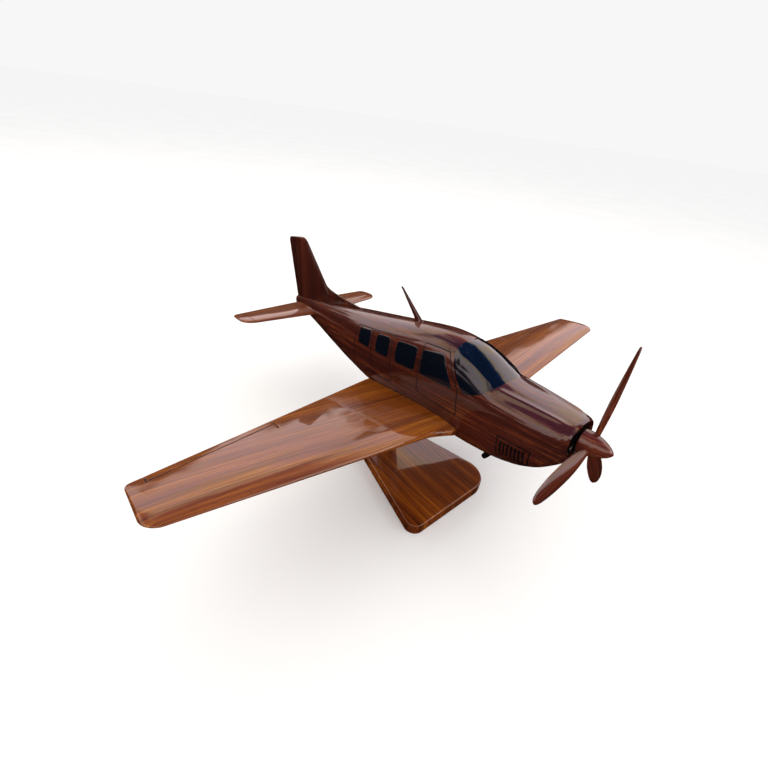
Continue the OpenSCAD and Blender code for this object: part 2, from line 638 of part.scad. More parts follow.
// Base board outline: straight front and rear, sides drawn in to the rear.
module base_outline(inset = 0) {
    f = base_front_w / 2;
    b = base_rear_w / 2;
    l = base_l / 2;
    lean = atan2(f - b, base_l);
    function corner(s, r, w, y, e) = let (q = e > 0 ? 90 + lean : 90 - lean)
        [s * (w - e * 0 - r / tan(q / 2)), y];
    hull() {
        for (c = [[-1, corner_sb, f, -l, 1], [1, corner_pt, f, -l, 1], [-1, 8, b, l, 2], [1, 8, b, l, 2]])
            let (r = c[1], turn = c[4] == 1 ? 90 - lean : 90 + lean)
                translate([c[0] * (c[2] - r / tan(turn / 2)), c[3] + (c[4] == 1 ? r : -r)])
                    circle(r = r - inset, $fn = 64);
    }
}
module stand_base() color(WOOD)
    difference() {
        hull() {
            linear_extrude(base_t - base_chamfer) base_outline();
            linear_extrude(base_t) base_outline(base_chamfer);
        }
        arm_screw_places() {
            translate([0, 0, -1]) cylinder(d = screw_d, h = base_t + 2, $fn = 32);
            translate([0, 0, 0.6]) cylinder(d1 = 2 * screw_d + 0.2, d2 = screw_d, h = screw_d / 2 + 0.1, $fn = 32);
            translate([0, 0, -1]) cylinder(d = 2 * screw_d + 0.2, h = 1.6, $fn = 32);
        }
    }
module arm_screws() color(STEEL)
    arm_screw_places()
        difference() {
            union() {
                translate([0, 0, 0.6]) cylinder(d1 = 2 * screw_d, d2 = screw_d, h = screw_d / 2, $fn = 32);
                translate([0, 0, 0.6]) cylinder(d = screw_d, h = screw_l - 3, $fn = 32);
                translate([0, 0, screw_l - 2.4]) cylinder(d1 = screw_d, d2 = 0.4, h = 2.4, $fn = 32);
            }
            for (a = [0, 90]) rotate([0, 0, a]) translate([-2, -0.4, 0]) cube([4, 0.8, 1.5]);
        }

fuselage();
wing_starboard();
wing_port();
wing_dowels();
tailplane_starboard();
tailplane_port();
tail_dowels();
fin();
fin_dowels();
antenna();
windshield();
windows_starboard();
windows_port();
exhaust_stubs();
nose_bush();
spinner();
blade_1();
blade_2();
blade_3();
prop_axle();
thrust_washer();
belly_ferrule();
support_pin();
stand_arm();
stand_base();
arm_screws();
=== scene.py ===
# %% [markdown]
# # A carved and lacquered desk aeroplane
# The object is a hand-carved hardwood model of a low-wing light aeroplane. It
# stands on a loose steel pin over a tapered wooden board, and its propeller
# turns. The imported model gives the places, the joints and the small metal
# parts. This lesson draws the wood, the black panes and the cut lines on it.

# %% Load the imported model
import bpy, bmesh, json, math
import numpy as np
from mathutils import Vector, Matrix


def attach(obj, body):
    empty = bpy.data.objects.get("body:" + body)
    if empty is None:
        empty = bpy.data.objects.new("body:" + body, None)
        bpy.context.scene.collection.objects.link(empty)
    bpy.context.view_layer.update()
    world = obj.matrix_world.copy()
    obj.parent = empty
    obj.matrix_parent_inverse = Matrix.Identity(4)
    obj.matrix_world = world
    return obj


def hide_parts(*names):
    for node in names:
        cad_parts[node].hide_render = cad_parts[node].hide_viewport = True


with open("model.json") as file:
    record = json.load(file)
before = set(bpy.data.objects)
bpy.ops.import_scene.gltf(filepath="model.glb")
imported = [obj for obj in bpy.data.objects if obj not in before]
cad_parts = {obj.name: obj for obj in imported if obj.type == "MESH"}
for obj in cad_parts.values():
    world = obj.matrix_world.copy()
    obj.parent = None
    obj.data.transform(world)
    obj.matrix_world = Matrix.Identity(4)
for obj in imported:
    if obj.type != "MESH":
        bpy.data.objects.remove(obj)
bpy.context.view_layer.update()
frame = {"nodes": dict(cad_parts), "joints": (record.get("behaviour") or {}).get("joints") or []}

# %% [markdown]
# ## Axes of the aeroplane
# The model sits nose-up on its pin, so it is drawn in its own axes: x to port,
# y aft of the spinner tip and z above the thrust line, all in millimetres. The
# propeller's joint lies on the thrust line, so it gives the whole transform and
# no angle has to be typed in twice.

# %% Model axes from the propeller joint
joint = {j["name"]: j for j in frame["joints"]}["propeller_spin"]
BLADE_Y = 12.0                                # blade axes, mm aft of the spinner tip
hub = np.array(joint["pos_m"])
aft = np.array(joint["axis"]); aft = aft / np.linalg.norm(aft)
port = np.array([1.0, 0.0, 0.0])
up = np.cross(port, aft)


def to_row(P):
    """Model millimetres to row metres: hub + x port + (y - blade place) aft + z up."""
    P = np.asarray(P, float)
    return hub + (P[..., 0:1] * port + (P[..., 1:2] - BLADE_Y) * aft + P[..., 2:3] * up) * 0.001


print("nose-up angle %.2f degrees" % math.degrees(math.asin(-aft[2])))

# %% [markdown]
# ## Curves through a few chosen values
# A carver works from a handful of templates along the body. Here each template
# is a row of numbers, and a smooth curve that never overshoots joins them.

# %% Smooth interpolation of a table
STATIONS = np.array([
    # share of length, half-width, top, bottom, widest line, upper and lower fullness
    [0.000, 0.62, 0.30, 0.31, 0.00, 2.6, 2.3], [0.006, 0.69, 0.325, 0.42, -0.01, 2.6, 2.3],
    [0.021, 0.77, 0.345, 0.56, -0.03, 2.6, 2.3], [0.052, 0.85, 0.385, 0.77, -0.08, 2.6, 2.4],
    [0.095, 0.92, 0.435, 0.92, -0.13, 2.6, 2.5], [0.150, 0.97, 0.505, 0.995, -0.18, 2.6, 2.6],
    [0.182, 0.985, 0.650, 1.00, -0.20, 2.5, 2.7], [0.214, 0.995, 0.815, 1.00, -0.20, 2.4, 2.8],
    [0.250, 1.00, 0.935, 1.00, -0.21, 2.4, 2.8], [0.285, 1.00, 0.990, 1.00, -0.21, 2.4, 2.8],
    [0.315, 1.00, 1.000, 1.00, -0.21, 2.4, 2.8], [0.360, 1.00, 0.965, 1.00, -0.21, 2.4, 2.8],
    [0.416, 1.00, 0.890, 0.995, -0.21, 2.4, 2.8], [0.523, 0.955, 0.747, 0.930, -0.19, 2.4, 2.7],
    [0.633, 0.830, 0.610, 0.770, -0.11, 2.3, 2.5], [0.737, 0.640, 0.480, 0.565, -0.05, 2.2, 2.4],
    [0.859, 0.370, 0.325, 0.315, -0.01, 2.2, 2.3], [0.951, 0.185, 0.215, 0.155, 0.02, 2.2, 2.2],
    [1.000, 0.105, 0.165, 0.085, 0.04, 2.2, 2.2]])
BODY_L, HALF_W, ROOF_H, BELLY_D, NOSE_Y = 327.0, 24.8, 35.8, 38.3, 19.3


def curve(T, col, s):
    """Cubic through column col of table T; each slope is the harmonic mean of the
    steps beside it, so the curve keeps within the values it joins."""
    x, v = T[:, 0], T[:, col]
    step = np.diff(v) / np.diff(x)
    a, b = step[:-1], step[1:]
    mid = np.where(a * b > 0, 2 * a * b / np.where(a + b == 0, 1, a + b), 0)
    m = np.concatenate([step[:1], mid, step[-1:]])
    s = np.clip(s, x[0], x[-1])
    i = np.clip(np.searchsorted(x, s, side="right") - 1, 0, len(x) - 2)
    h = x[i + 1] - x[i]
    t = (s - x[i]) / h
    return (v[i] * (1 + 2 * t) * (1 - t) ** 2 + v[i + 1] * t * t * (3 - 2 * t)
            + m[i] * h * t * (1 - t) ** 2 - m[i + 1] * h * t * t * (1 - t))


def body_sizes(y):
    """Half-width, top, bottom, widest height and the two fullnesses at place y."""
    s = (np.asarray(y, float) - NOSE_Y) / BODY_L
    return (HALF_W * curve(STATIONS, 1, s), ROOF_H * curve(STATIONS, 2, s),
            -BELLY_D * curve(STATIONS, 3, s), BELLY_D * curve(STATIONS, 4, s),
            curve(STATIONS, 5, s), curve(STATIONS, 6, s))


def body_point(y, a):
    """Point of the body at place y and angle a from starboard-to-port horizontal:
    a superellipse with one fullness above its widest line and another below."""
    y, a = np.broadcast_arrays(np.asarray(y, float), np.asarray(a, float))
    w, top, low, mid, nu, nl = body_sizes(y)
    c, s = np.cos(a), np.sin(a)
    n = np.where(s >= 0, nu, nl)
    h = np.where(s >= 0, top - mid, mid - low)
    return np.stack([w * np.sign(c) * np.abs(c) ** (2 / n), y,
                     mid + h * np.sign(s) * np.abs(s) ** (2 / n)], -1)


def body_x(y, z):
    """Half-width of the body at place y and height z."""
    w, top, low, mid, nu, nl = body_sizes(y)
    upper = z > mid
    h = np.where(upper, top - mid, mid - low)
    n = np.where(upper, nu, nl)
    return w * np.clip(1 - np.clip(np.abs(z - mid) / h, 0, 1) ** n, 0, 1) ** (1 / n)


def body_angle(y, z):
    """Angle on the ring at place y whose height is z, on the port side, upper half."""
    w, top, low, mid, nu, nl = body_sizes(y)
    return np.arcsin(np.clip((z - mid) / (top - mid), 0, 1) ** (nu / 2))


print("cabin half-width %.1f mm, roof %.1f mm above the thrust line" % (HALF_W, ROOF_H))

# %% [markdown]
# ## From grids to meshes
# Every new piece is a grid of points. One function turns a grid into faces,
# welds its seam and its poles, turns its faces outward, and stores two values
# on each point: where it lies in the plank it was cut from, and how much dark
# colour it takes: the filler its engraving holds, and on the nose face black
# and painted shade.

# %% Grid to mesh


def smooth01(t):
    """Soft step from 0 to 1 as t goes from 0 to 1."""
    t = np.clip(t, 0, 1)
    return t * t * (3 - 2 * t)


def pole(g, i=0):
    """One more row for grid g, all its points at the middle of row i, to close it."""
    return np.broadcast_to(g[i].mean(0), (1, *g.shape[1:]))


def grid_faces(n, m, first=0):
    """Quads of an n by m grid of points whose last column joins its first."""
    i, j = np.arange(n - 1)[:, None], np.arange(m)[None, :]
    k = (j + 1) % m
    return (np.stack([i * m + j, i * m + k, (i + 1) * m + k, (i + 1) * m + j], -1) + first).reshape(-1, 4)


WELD = 1e-6                                   # points nearer than this, in metres, are one
SIDES = ((-1, "starboard"), (1, "port"))


def piece(name, grids, material, body, sharp=35.0, in_row=False):
    """One object from a list of (points, grain, ink) grids. Grain and ink may be
    left out: plain grain then runs nose to tail, or across the row with in_row."""
    verts, faces, grains, inks, first = [], [], [], [], 0
    for g in grids:
        P = np.asarray(g[0], float)
        n, m = P.shape[:2]
        plain = P if in_row else np.stack([P[..., 2] + 0.5 * P[..., 0], P[..., 1], P[..., 0]], -1)
        G = plain if len(g) < 2 or g[1] is None else np.broadcast_to(g[1], P.shape)
        K = np.zeros((n, m)) if len(g) < 3 else np.broadcast_to(g[2], (n, m))
        verts.append((P * 0.001 if in_row else to_row(P)).reshape(-1, 3))
        faces.append(grid_faces(n, m, first))
        grains.append(G.reshape(-1, 3)); inks.append(K.reshape(-1))
        first += n * m
    verts, faces = np.concatenate(verts), np.concatenate(faces)
    me = bpy.data.meshes.new(name)
    me.vertices.add(len(verts))
    me.vertices.foreach_set("co", verts.ravel())
    me.loops.add(faces.size)
    me.loops.foreach_set("vertex_index", faces.ravel().astype(np.int32))
    me.polygons.add(len(faces))
    me.polygons.foreach_set("loop_start", np.arange(0, faces.size, 4, dtype=np.int32))
    me.update(calc_edges=True)
    grain_data = me.attributes.new("grain", "FLOAT_VECTOR", "POINT").data
    grain_data.foreach_set("vector", np.concatenate(grains).ravel())
    me.attributes.new("ink", "FLOAT", "POINT").data.foreach_set("value", np.concatenate(inks))
    bm = bmesh.new()
    bm.from_mesh(me)
    bmesh.ops.remove_doubles(bm, verts=bm.verts, dist=WELD)
    bmesh.ops.dissolve_degenerate(bm, edges=bm.edges, dist=WELD * 0.1)
    bmesh.ops.recalc_face_normals(bm, faces=bm.faces)
    bm.to_mesh(me)
    bm.free()
    me.polygons.foreach_set("use_smooth", np.ones(len(me.polygons), bool))
    me.set_sharp_from_angle(angle=math.radians(sharp))
    me.materials.append(material)
    ob = bpy.data.objects.new(name, me)
    bpy.context.scene.collection.objects.link(ob)
    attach(ob, body)
    return ob


def stretch(values, extra, width):
    """Adds lines at +-width and +-width/3 round each extra value, for a groove."""
    more = [v + d for v in extra for d in (-width, -width / 3, width / 3, width)]
    keep = [v for v in values if all(abs(v - e) > width * 1.15 for e in extra)]
    return np.array(sorted(keep + more))


print("grid helpers ready")

# %% [markdown]
# ## Finishes
# The wood is mahogany under many coats of polished lacquer. Three things make
# it read as wood: fine streaks about thirty times longer than they are wide,
# broad bands where the plank turns from dark to golden, and short open pores.
# The colour lies under a clear coat, so the coat alone carries the sharp
# reflections, and the coat is never quite flat because the wood was shaped by
# hand.

# %% Node helper and colours


def linear(hex_colour):
    """sRGB hex to linear: (c + 0.055) / 1.055 to the power 2.4, or c / 12.92 when dark."""
    c = np.array([int(hex_colour[i:i + 2], 16) for i in (1, 3, 5)]) / 255
    return (*np.where(c > 0.04045, ((c + 0.055) / 1.055) ** 2.4, c / 12.92), 1.0)


def add(tree, kind, inputs=None, **props):
    """One shader node; inputs that are sockets are linked and the rest are values."""
    nd = tree.nodes.new("ShaderNode" + kind)
    for k, v in props.items():
        setattr(nd, k, v)
    for k, v in (inputs or {}).items():
        if isinstance(v, bpy.types.NodeSocket):
            tree.links.new(v, nd.inputs[k])
        else:
            nd.inputs[k].default_value = v
    return nd


def finish_of(name):
    """A new material with its principled shader and its node tree."""
    m = bpy.data.materials.new(name)
    m.use_nodes = True
    t = m.node_tree
    return m, t, t.nodes["Principled BSDF"]


def ramp(tree, fac, stops):
    """Colour ramp through (place, colour) stops."""
    r = add(tree, "ValToRGB", {"Fac": fac})
    while len(r.color_ramp.elements) < len(stops):
        r.color_ramp.elements.new(0.5)
    for e, (p, c) in zip(r.color_ramp.elements, stops):
        e.position, e.color = p, c
    return r.outputs["Color"]


def mahogany(name, deep, mid, gold, plank, gloss=0.05, band=0.5):
    """Lacquered mahogany cut from its own place in the plank."""
    m, t, bsdf = finish_of(name)
    grain = add(t, "Attribute", attribute_name="grain").outputs["Vector"]
    ink = add(t, "Attribute", attribute_name="ink").outputs["Fac"]
    # the grain wanders by a couple of millimetres over a hand's breadth
    drift = add(t, "TexNoise", {"Vector": grain, "Scale": 0.011, "Detail": 1.0}).outputs["Color"]
    bent = add(t, "VectorMath", {0: drift, 1: (5.0, 0.0, 5.0), 2: grain},
               operation="MULTIPLY_ADD").outputs["Vector"]

    def streak(across, along, detail, rough, offset=0.0):
        """Noise drawn out to across by along millimetres."""
        at = add(t, "Mapping", {"Vector": bent, "Location": (plank + offset, plank * 0.37, offset),
                                "Scale": (1 / across, 1 / along, 0.16 / across)}).outputs["Vector"]
        return add(t, "TexNoise", {"Vector": at, "Scale": 1.0, "Detail": detail,
                                   "Roughness": rough}).outputs["Fac"]

    fine = streak(0.9, 70.0, 5.0, 0.7)                 # streaks a millimetre wide
    broad = streak(9.0, 260.0, 2.0, 0.5, 11.0)         # bands a finger wide
    ribbon_fig = streak(2.6, 120.0, 4.0, 0.65, 23.0)   # the ribbon figure of quartered mahogany
    pore = streak(0.34, 5.5, 1.0, 0.5, 41.0)           # open pores, a few millimetres long
    tone = add(t, "Math", {0: fine, 1: 0.80}, operation="MULTIPLY").outputs[0]
    tone = add(t, "Math", {0: broad, 1: band, 2: tone}, operation="MULTIPLY_ADD").outputs[0]
    tone = add(t, "Math", {0: ribbon_fig, 1: 0.24, 2: tone}, operation="MULTIPLY_ADD").outputs[0]
    half_way = 0.5 * (1.10 + band)                     # where the summed noise has its middle
    wood = ramp(t, tone, [(half_way - 0.24, linear(deep)), (half_way, linear(mid)),
                          (half_way + 0.24, linear(gold))])
    specks = add(t, "MapRange", {"Value": pore, "From Min": 0.66, "From Max": 0.74}).outputs[0]
    soft = add(t, "Math", {0: specks, 1: 0.55}, operation="MULTIPLY").outputs[0]
    dark = add(t, "Mix", {0: soft, 6: wood, 7: linear("#1a0703")}, data_type="RGBA")
    # the ink value darkens engraved lines with dark filler, and the nose face with black and painted shade
    lined_and_shaded = add(t, "Mix", {0: ink, 6: dark.outputs[2], 7: linear("#070303")}, data_type="RGBA").outputs[2]
    t.links.new(lined_and_shaded, bsdf.inputs["Base Color"])
    # the knife leaves waves about 45 mm long and well under a millimetre high
    carve = add(t, "TexNoise", {"Vector": grain, "Scale": 0.022, "Detail": 1.5,
                                "Roughness": 0.4}).outputs["Fac"]
    under = add(t, "Bump", {"Height": specks, "Strength": 0.25, "Distance": 0.00005}, invert=True).outputs[0]
    skin_n = add(t, "Bump", {"Height": carve, "Strength": 0.5, "Distance": 0.0007}).outputs[0]
    for k, v in {"Normal": under, "Coat Normal": skin_n}.items():
        t.links.new(v, bsdf.inputs[k])
    for k, v in {"Roughness": 0.42, "Specular IOR Level": 0.12, "Coat Weight": 1.0,
                 "Coat Roughness": gloss, "Coat IOR": 1.52}.items():
        bsdf.inputs[k].default_value = v
    return m


# %% Painted and metal finishes


def lacquer(name, colour, rough=0.05, wave=0.0007, coat=1.0):
    """Black lacquer rubbed to a mirror; slow waves stay from the wood below."""
    m, t, bsdf = finish_of(name)
    at = add(t, "TexCoord").outputs["Object"]
    wave_h = add(t, "TexNoise", {"Vector": at, "Scale": 26.0, "Detail": 2.0}).outputs["Fac"]
    tint = add(t, "Mix", {0: wave_h, 6: linear(colour), 7: linear("#0a0c12")}, data_type="RGBA").outputs[2]
    normal = add(t, "Bump", {"Height": wave_h, "Strength": 0.4, "Distance": wave}).outputs[0]
    for k, v in {"Base Color": tint, "Normal": normal, "Coat Normal": normal}.items():
        t.links.new(v, bsdf.inputs[k])
    for k, v in {"Roughness": 0.12 + (1 - coat) * 0.4, "Specular IOR Level": 0.25, "Coat IOR": 1.42,
                 "Coat Weight": coat, "Coat Roughness": rough}.items():
        bsdf.inputs[k].default_value = v
    return m


def metal(name, light, shade, rough, scale):
    """Turned or ground metal: faint tool marks run round the axis as fine rings."""
    m, t, bsdf = finish_of(name)
    at = add(t, "TexCoord").outputs["Object"]
    rings = add(t, "Mapping", {"Vector": at, "Scale": (60.0, 60.0, scale)}).outputs["Vector"]
    marks = add(t, "TexNoise", {"Vector": rings, "Scale": 1.0, "Detail": 4.0}).outputs["Fac"]
    stain = add(t, "TexNoise", {"Vector": at, "Scale": 220.0, "Detail": 3.0}).outputs["Fac"]
    t.links.new(ramp(t, stain, [(0.35, linear(shade)), (0.65, linear(light))]), bsdf.inputs["Base Color"])
    worn = add(t, "MapRange", {"Value": marks, "To Min": rough * 0.7, "To Max": rough * 1.4}).outputs[0]
    t.links.new(worn, bsdf.inputs["Roughness"])
    t.links.new(add(t, "Bump", {"Height": marks, "Strength": 0.2, "Distance": 0.00003}).outputs[0],
                bsdf.inputs["Normal"])
    bsdf.inputs["Metallic"].default_value = 1.0
    return m


def bare_wood(name, dark, light):
    """Plain birch dowel rod, straight-grained and only sealed."""
    m, t, bsdf = finish_of(name)
    at = add(t, "Mapping", {"Vector": add(t, "TexCoord").outputs["Object"],
                            "Scale": (60.0, 1400.0, 1400.0)})
    lines = add(t, "TexNoise", {"Vector": at.outputs["Vector"], "Scale": 1.0, "Detail": 4.0}).outputs["Fac"]
    t.links.new(ramp(t, lines, [(0.3, linear(dark)), (0.7, linear(light))]), bsdf.inputs["Base Color"])
    bsdf.inputs["Roughness"].default_value = 0.5
    return m


# darker, redder mahogany for the body, partly its own colour and partly painted shade for its sides; paler
# planks for wings, tail and stand
SHADED_BODY_WOOD = mahogany("mahogany_fuselage_block", "#1c0501", "#46150a", "#8c4614", 3.0, band=0.34)
WING_WOOD = {s: mahogany("mahogany_wing_plank_" + s, "#421503", "#7d3f0e", "#b8701f", p, band=0.40)
             for s, p in (("starboard", 61.0), ("port", 97.0))}
TAIL_WOOD = mahogany("mahogany_tail_plank", "#3a1205", "#743610", "#a8621e", 140.0)
FIN_WOOD = mahogany("mahogany_fin_board", "#1e0602", "#3f1208", "#66290f", 171.0)
PROP_WOOD = mahogany("mahogany_propeller", "#210804", "#531c0c", "#8a451a", 205.0, gloss=0.09)
BASE_WOOD = mahogany("mahogany_base_board", "#260a02", "#6f3006", "#b4640f", 250.0)
PANE_BLACK = lacquer("blue_black_window_lacquer", "#020a16")
TRIM_BLACK = lacquer("black_trim_paint", "#040405", rough=0.2, wave=0.0002)
INK = lacquer("dark_line_filler", "#060302", rough=0.3, wave=0.0001, coat=0.2)
# the nose bush and thrust washer are coloured near black as painted shade of the opening round the spinner
NOSE_SHADE_BRASS = metal("brass_darkened_as_nose_shade", "#2c261c", "#15110c", 0.4, 9000.0)
BRASS = metal("turned_brass", "#c59a4e", "#9a7433", 0.22, 9000.0)
STEEL = metal("ground_steel", "#b9bcc0", "#8f9398", 0.25, 9000.0)
DOWEL = bare_wood("birch_dowel", "#a67c4c", "#c9a271")
print(len(bpy.data.materials), "materials")

# %% [markdown]
# ## The body
# The body is one block of wood carved to templates. Two soft ridges run from
# the windshield's corners down the cowling toward the nose, and two intakes
# are hollowed beside the spinner and coloured black. The rest of the face
# round the spinner is sunk a little and coloured black as painted shade of
# the opening there. The grain runs from nose to tail, so it rises and falls
# with the shape.

# %% Body surface with cowling ridges
RIDGE_H = 1.1


def ridge(y, a):
    """Height of the two cowling ridges: bumps in angle, RIDGE_H high, about the line
    x = 11 + (y - 30) * 0.1, faded in behind the nose and out at the windshield."""
    w, top, low, mid, nu, nl = body_sizes(y)
    x = np.clip((11.0 + (y - 30) * 0.10) / w, 0, 0.999)
    line = np.arccos(x ** (nu / 2))
    off = np.minimum(np.abs(a - line), np.abs(np.pi - a - line))
    fade = smooth01((y - 21) / 9) * smooth01((74 - y) / 8)
    return RIDGE_H * fade * np.exp(-(off / 0.11) ** 2) * (np.sin(a) > 0)


def skin_point(y, a, lift=0.0):
    """Body point with its ridges, raised by lift in the ring's own plane."""
    y, a = np.broadcast_arrays(np.asarray(y, float), np.asarray(a, float))
    h = (ridge(y, a) + lift)[..., None]
    return body_point(y, a) + h * np.stack([np.cos(a), 0 * a, np.sin(a)], -1)


def side_point(y, z, lift, side):
    """Point on the cabin's side at (y, z), raised by lift, on one side of the model."""
    return np.stack([side * (body_x(y, z) + lift), y, z], -1)


print("ridges %.1f mm high" % RIDGE_H)

# %% Body rings, nose face and tail end
RING, TAIL_ROUND, INTAKE_DEEP, FACE_SUNK = 300, 3.0, 5.5, 0.5
angle = np.linspace(0, 2 * np.pi, RING, endpoint=False)
tail_y = NOSE_Y + BODY_L - TAIL_ROUND
along = np.concatenate([NOSE_Y + np.linspace(0.02, 26, 52), np.linspace(46, 115, 90)[1:],
                        np.linspace(115, tail_y, 150)[1:]])
rings = skin_point(along[:, None], angle[None, :])

# nose face: the first ring drawn in toward the middle
share = np.concatenate([np.linspace(0, 0.985, 60), [0.992]])
face = body_point(NOSE_Y, angle)[None] * share[:, None, None]
face[..., 1] = NOSE_Y


def intake(x, z):
    """Depth of the intakes from 0 to 1: a leaning capsule beside the spinner, 3.9 mm
    in radius at its top and 3.5 at its foot, with walls that drop over 0.9 mm."""
    ax, t = np.abs(x), np.clip((4.0 - z) / 5.6, 0, 1)
    d = np.hypot(ax - (10.3 + 0.6 * t), z - (4.0 - 5.6 * t)) - (3.9 - 0.4 * t)
    return smooth01(0.5 - d / 0.9)


hollow = intake(face[..., 0], face[..., 2])
# the whole face inside the rim is sunk and coloured black round the spinner's back: painted shade of the
# opening there
sunk = smooth01((0.86 - share) / 0.07)[:, None] * (share[:, None] > 0)
face[..., 1] += np.maximum(INTAKE_DEEP * hollow, FACE_SUNK * sunk)
tail_s = np.linspace(0, 1, 14)[1:]
last = body_point(tail_y, angle)
middle = last.mean(0)
cap = middle + (last - middle) * np.sqrt(1 - tail_s ** 2 * 0.9999)[:, None, None]
cap[..., 1] = tail_y + TAIL_ROUND * tail_s[:, None]
closing = np.broadcast_to(middle + np.array([0, TAIL_ROUND, 0]), (1, RING, 3))
centre = np.broadcast_to([0.0, NOSE_Y + FACE_SUNK, 0.0], (1, RING, 3))
body_grid = np.concatenate([centre, face[1:], rings, cap, closing])
nose_black_and_shade = np.zeros(body_grid.shape[:2])
# black in the intakes, and painted shade over the sunk face round the spinner
nose_black_and_shade[1:len(face)] = np.maximum(smooth01((hollow[1:] - 0.12) * 3), sunk[1:])
fuselage = piece("fuselage_body", [(body_grid, None, nose_black_and_shade)], SHADED_BODY_WOOD, "model", sharp=38)
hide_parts("fuselage")
print("body", len(fuselage.data.polygons), "faces")

# %% [markdown]
# ## Windshield and side panes
# The panes are not glass. Each is a shallow inlay sprayed blue-black and rubbed
# to a mirror, standing a hair proud of the wood. Drawing them on the body's own
# surface keeps their reflections running on from the wood's.

# %% Windshield
PROUD, BURIED, CREASE_H, CREASE_A = 0.16, 0.9, 0.9, math.radians(56)


def edge(points, roof_y):
    """Place y of an edge against ring angle, through a few (y, z) points and,
    at the very top, roof_y."""
    p = np.array(points, float)
    a = body_angle(p[:, 0], p[:, 1])
    T = np.stack([np.append(a, np.pi / 2), np.append(p[:, 0], roof_y)], 1)
    return lambda phi: curve(T, 1, phi)


foot = edge([(88.6, 6.0), (85.2, 7.0), (78.4, 9.9), (72.6, 14.6), (70.2, 16.6)], 68.8)
head = edge([(88.8, 6.0), (92.0, 8.2), (97.1, 13.6), (103.6, 22.7), (106.4, 29.0)], 104.5)
low_a = float(body_angle(88.7, 6.0))
t = np.linspace(0, 1, 141)
phi = low_a + (np.pi - 2 * low_a) * t
half = np.minimum(phi, np.pi - phi)
v = np.concatenate([[0, 0.004, 0.012], np.linspace(0.025, 0.975, 60), [0.988, 0.996, 1]])
y_at = foot(half)[:, None] + (head(half) - foot(half))[:, None] * v
rim = smooth01(np.minimum(v, 1 - v) / 0.05)[None] * smooth01(np.minimum(t, 1 - t) / 0.03)[:, None]
fold = CREASE_H * np.maximum(0, 1 - np.abs(half - CREASE_A) / 0.24)[:, None] ** 1.3
fold = fold * smooth01(np.minimum(v, 1 - v) / 0.2)[None]
front = skin_point(y_at, phi[:, None], PROUD * rim + 0.02 + fold)
back = skin_point(y_at[:, ::-1], phi[:, None], -BURIED)
shield = piece("windshield_pane", [(np.concatenate([front, back], 1),)], PANE_BLACK, "model", sharp=50)
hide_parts("windshield")
print("windshield", len(shield.data.polygons), "faces")

# %% Side panes
PANES = [[(98, 4.9), (129.3, 4.3), (131, 22.3), (112.5, 25.6)],
         [(135, 4.4), (156.5, 4.0), (158, 20), (136, 22)],
         [(164.8, 3.9), (180.7, 3.7), (182.7, 17.6), (166.2, 19.4)],
         [(189.3, 3.8), (205, 3.5), (206.7, 15.9), (190.7, 17.6)]]


def pane(corners, side, radius=2.4):
    """Rounded four-sided inlay: a unit square with rounded corners is stretched
    between the four corners, then scaled in to its middle for the rings."""
    q = np.array(corners, float)
    size = np.array([np.hypot(*(q[1] - q[0])), np.hypot(*(q[3] - q[0]))])
    th = np.linspace(0, 2 * np.pi, 96, endpoint=False)
    c = np.stack([np.cos(th), np.sin(th)], -1)
    p = np.sign(c) * np.abs(c) ** (2.2 * radius / size.mean())
    s = np.array([0.0, 1.0, 1.0, 0.985, 0.96, 0.93, 0.86, 0.7, 0.5, 0.3, 0.12, 0.0])
    lift = np.array([-0.8, -0.8, 0.03, 0.08, 0.11, 0.13] + [0.14] * 6)
    u = 0.5 + 0.5 * s[:, None, None] * p[None]
    a, b = u[..., :1], u[..., 1:]
    yz = (1 - b) * ((1 - a) * q[0] + a * q[1]) + b * ((1 - a) * q[3] + a * q[2])
    return side_point(yz[..., 0], yz[..., 1], lift[:, None], side)


for side, word in SIDES:
    ob = piece("side_panes_" + word, [(pane(q, side),) for q in PANES], PANE_BLACK, "model", sharp=60)
    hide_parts("windows_" + word)
print(len(PANES), "panes a side")

# %% [markdown]
# ## Engraved lines
# Doors, seams and hinge lines are cut with a fine gouge and filled with dark
# paint before the last coats. Each one here is a narrow closed strip laid along
# the surface, its crown a tenth of a millimetre or so above the wood.

# %% Strips along the surface


def dense(points, gap=1.0):
    """Points about gap apart along a polyline."""
    p = np.array(points, float)
    d = np.concatenate([[0], np.cumsum(np.hypot(*np.diff(p, axis=0).T))])
    s = np.linspace(0, d[-1], max(3, int(d[-1] / gap) + 1))
    return np.stack([np.interp(s, d, p[:, i]) for i in range(p.shape[1])], -1)


def strip(points, place, width=0.74, crown=0.10, gap=1.0):
    """Closed strip along a polyline in two flat coordinates. place(p, lift) puts
    a flat point on the surface; the section is five points: two buried edges,
    two shoulders and a crown."""
    p = dense(points, gap)
    d = np.gradient(p, axis=0)
    n = np.stack([-d[:, 1], d[:, 0]], -1) / np.hypot(*d.T)[:, None]
    off = np.array([-0.5, -0.5, 0.0, 0.5, 0.5]) * width
    lift = np.array([-0.5, 0.04, crown, 0.04, -0.5])
    flat = p[:, None] + n[:, None] * off[None, :, None]
    g = place(flat, np.broadcast_to(lift, flat.shape[:2]))
    return np.concatenate([pole(g), g, pole(g, -1)])


def on_side(side):
    """Puts flat (y, z) points on the body's side."""
    return lambda f, lift: side_point(f[..., 0], f[..., 1], lift, side)


print("a strip along 10 mm has", strip([(150, 0), (160, 0)], on_side(1)).shape[0], "rings")

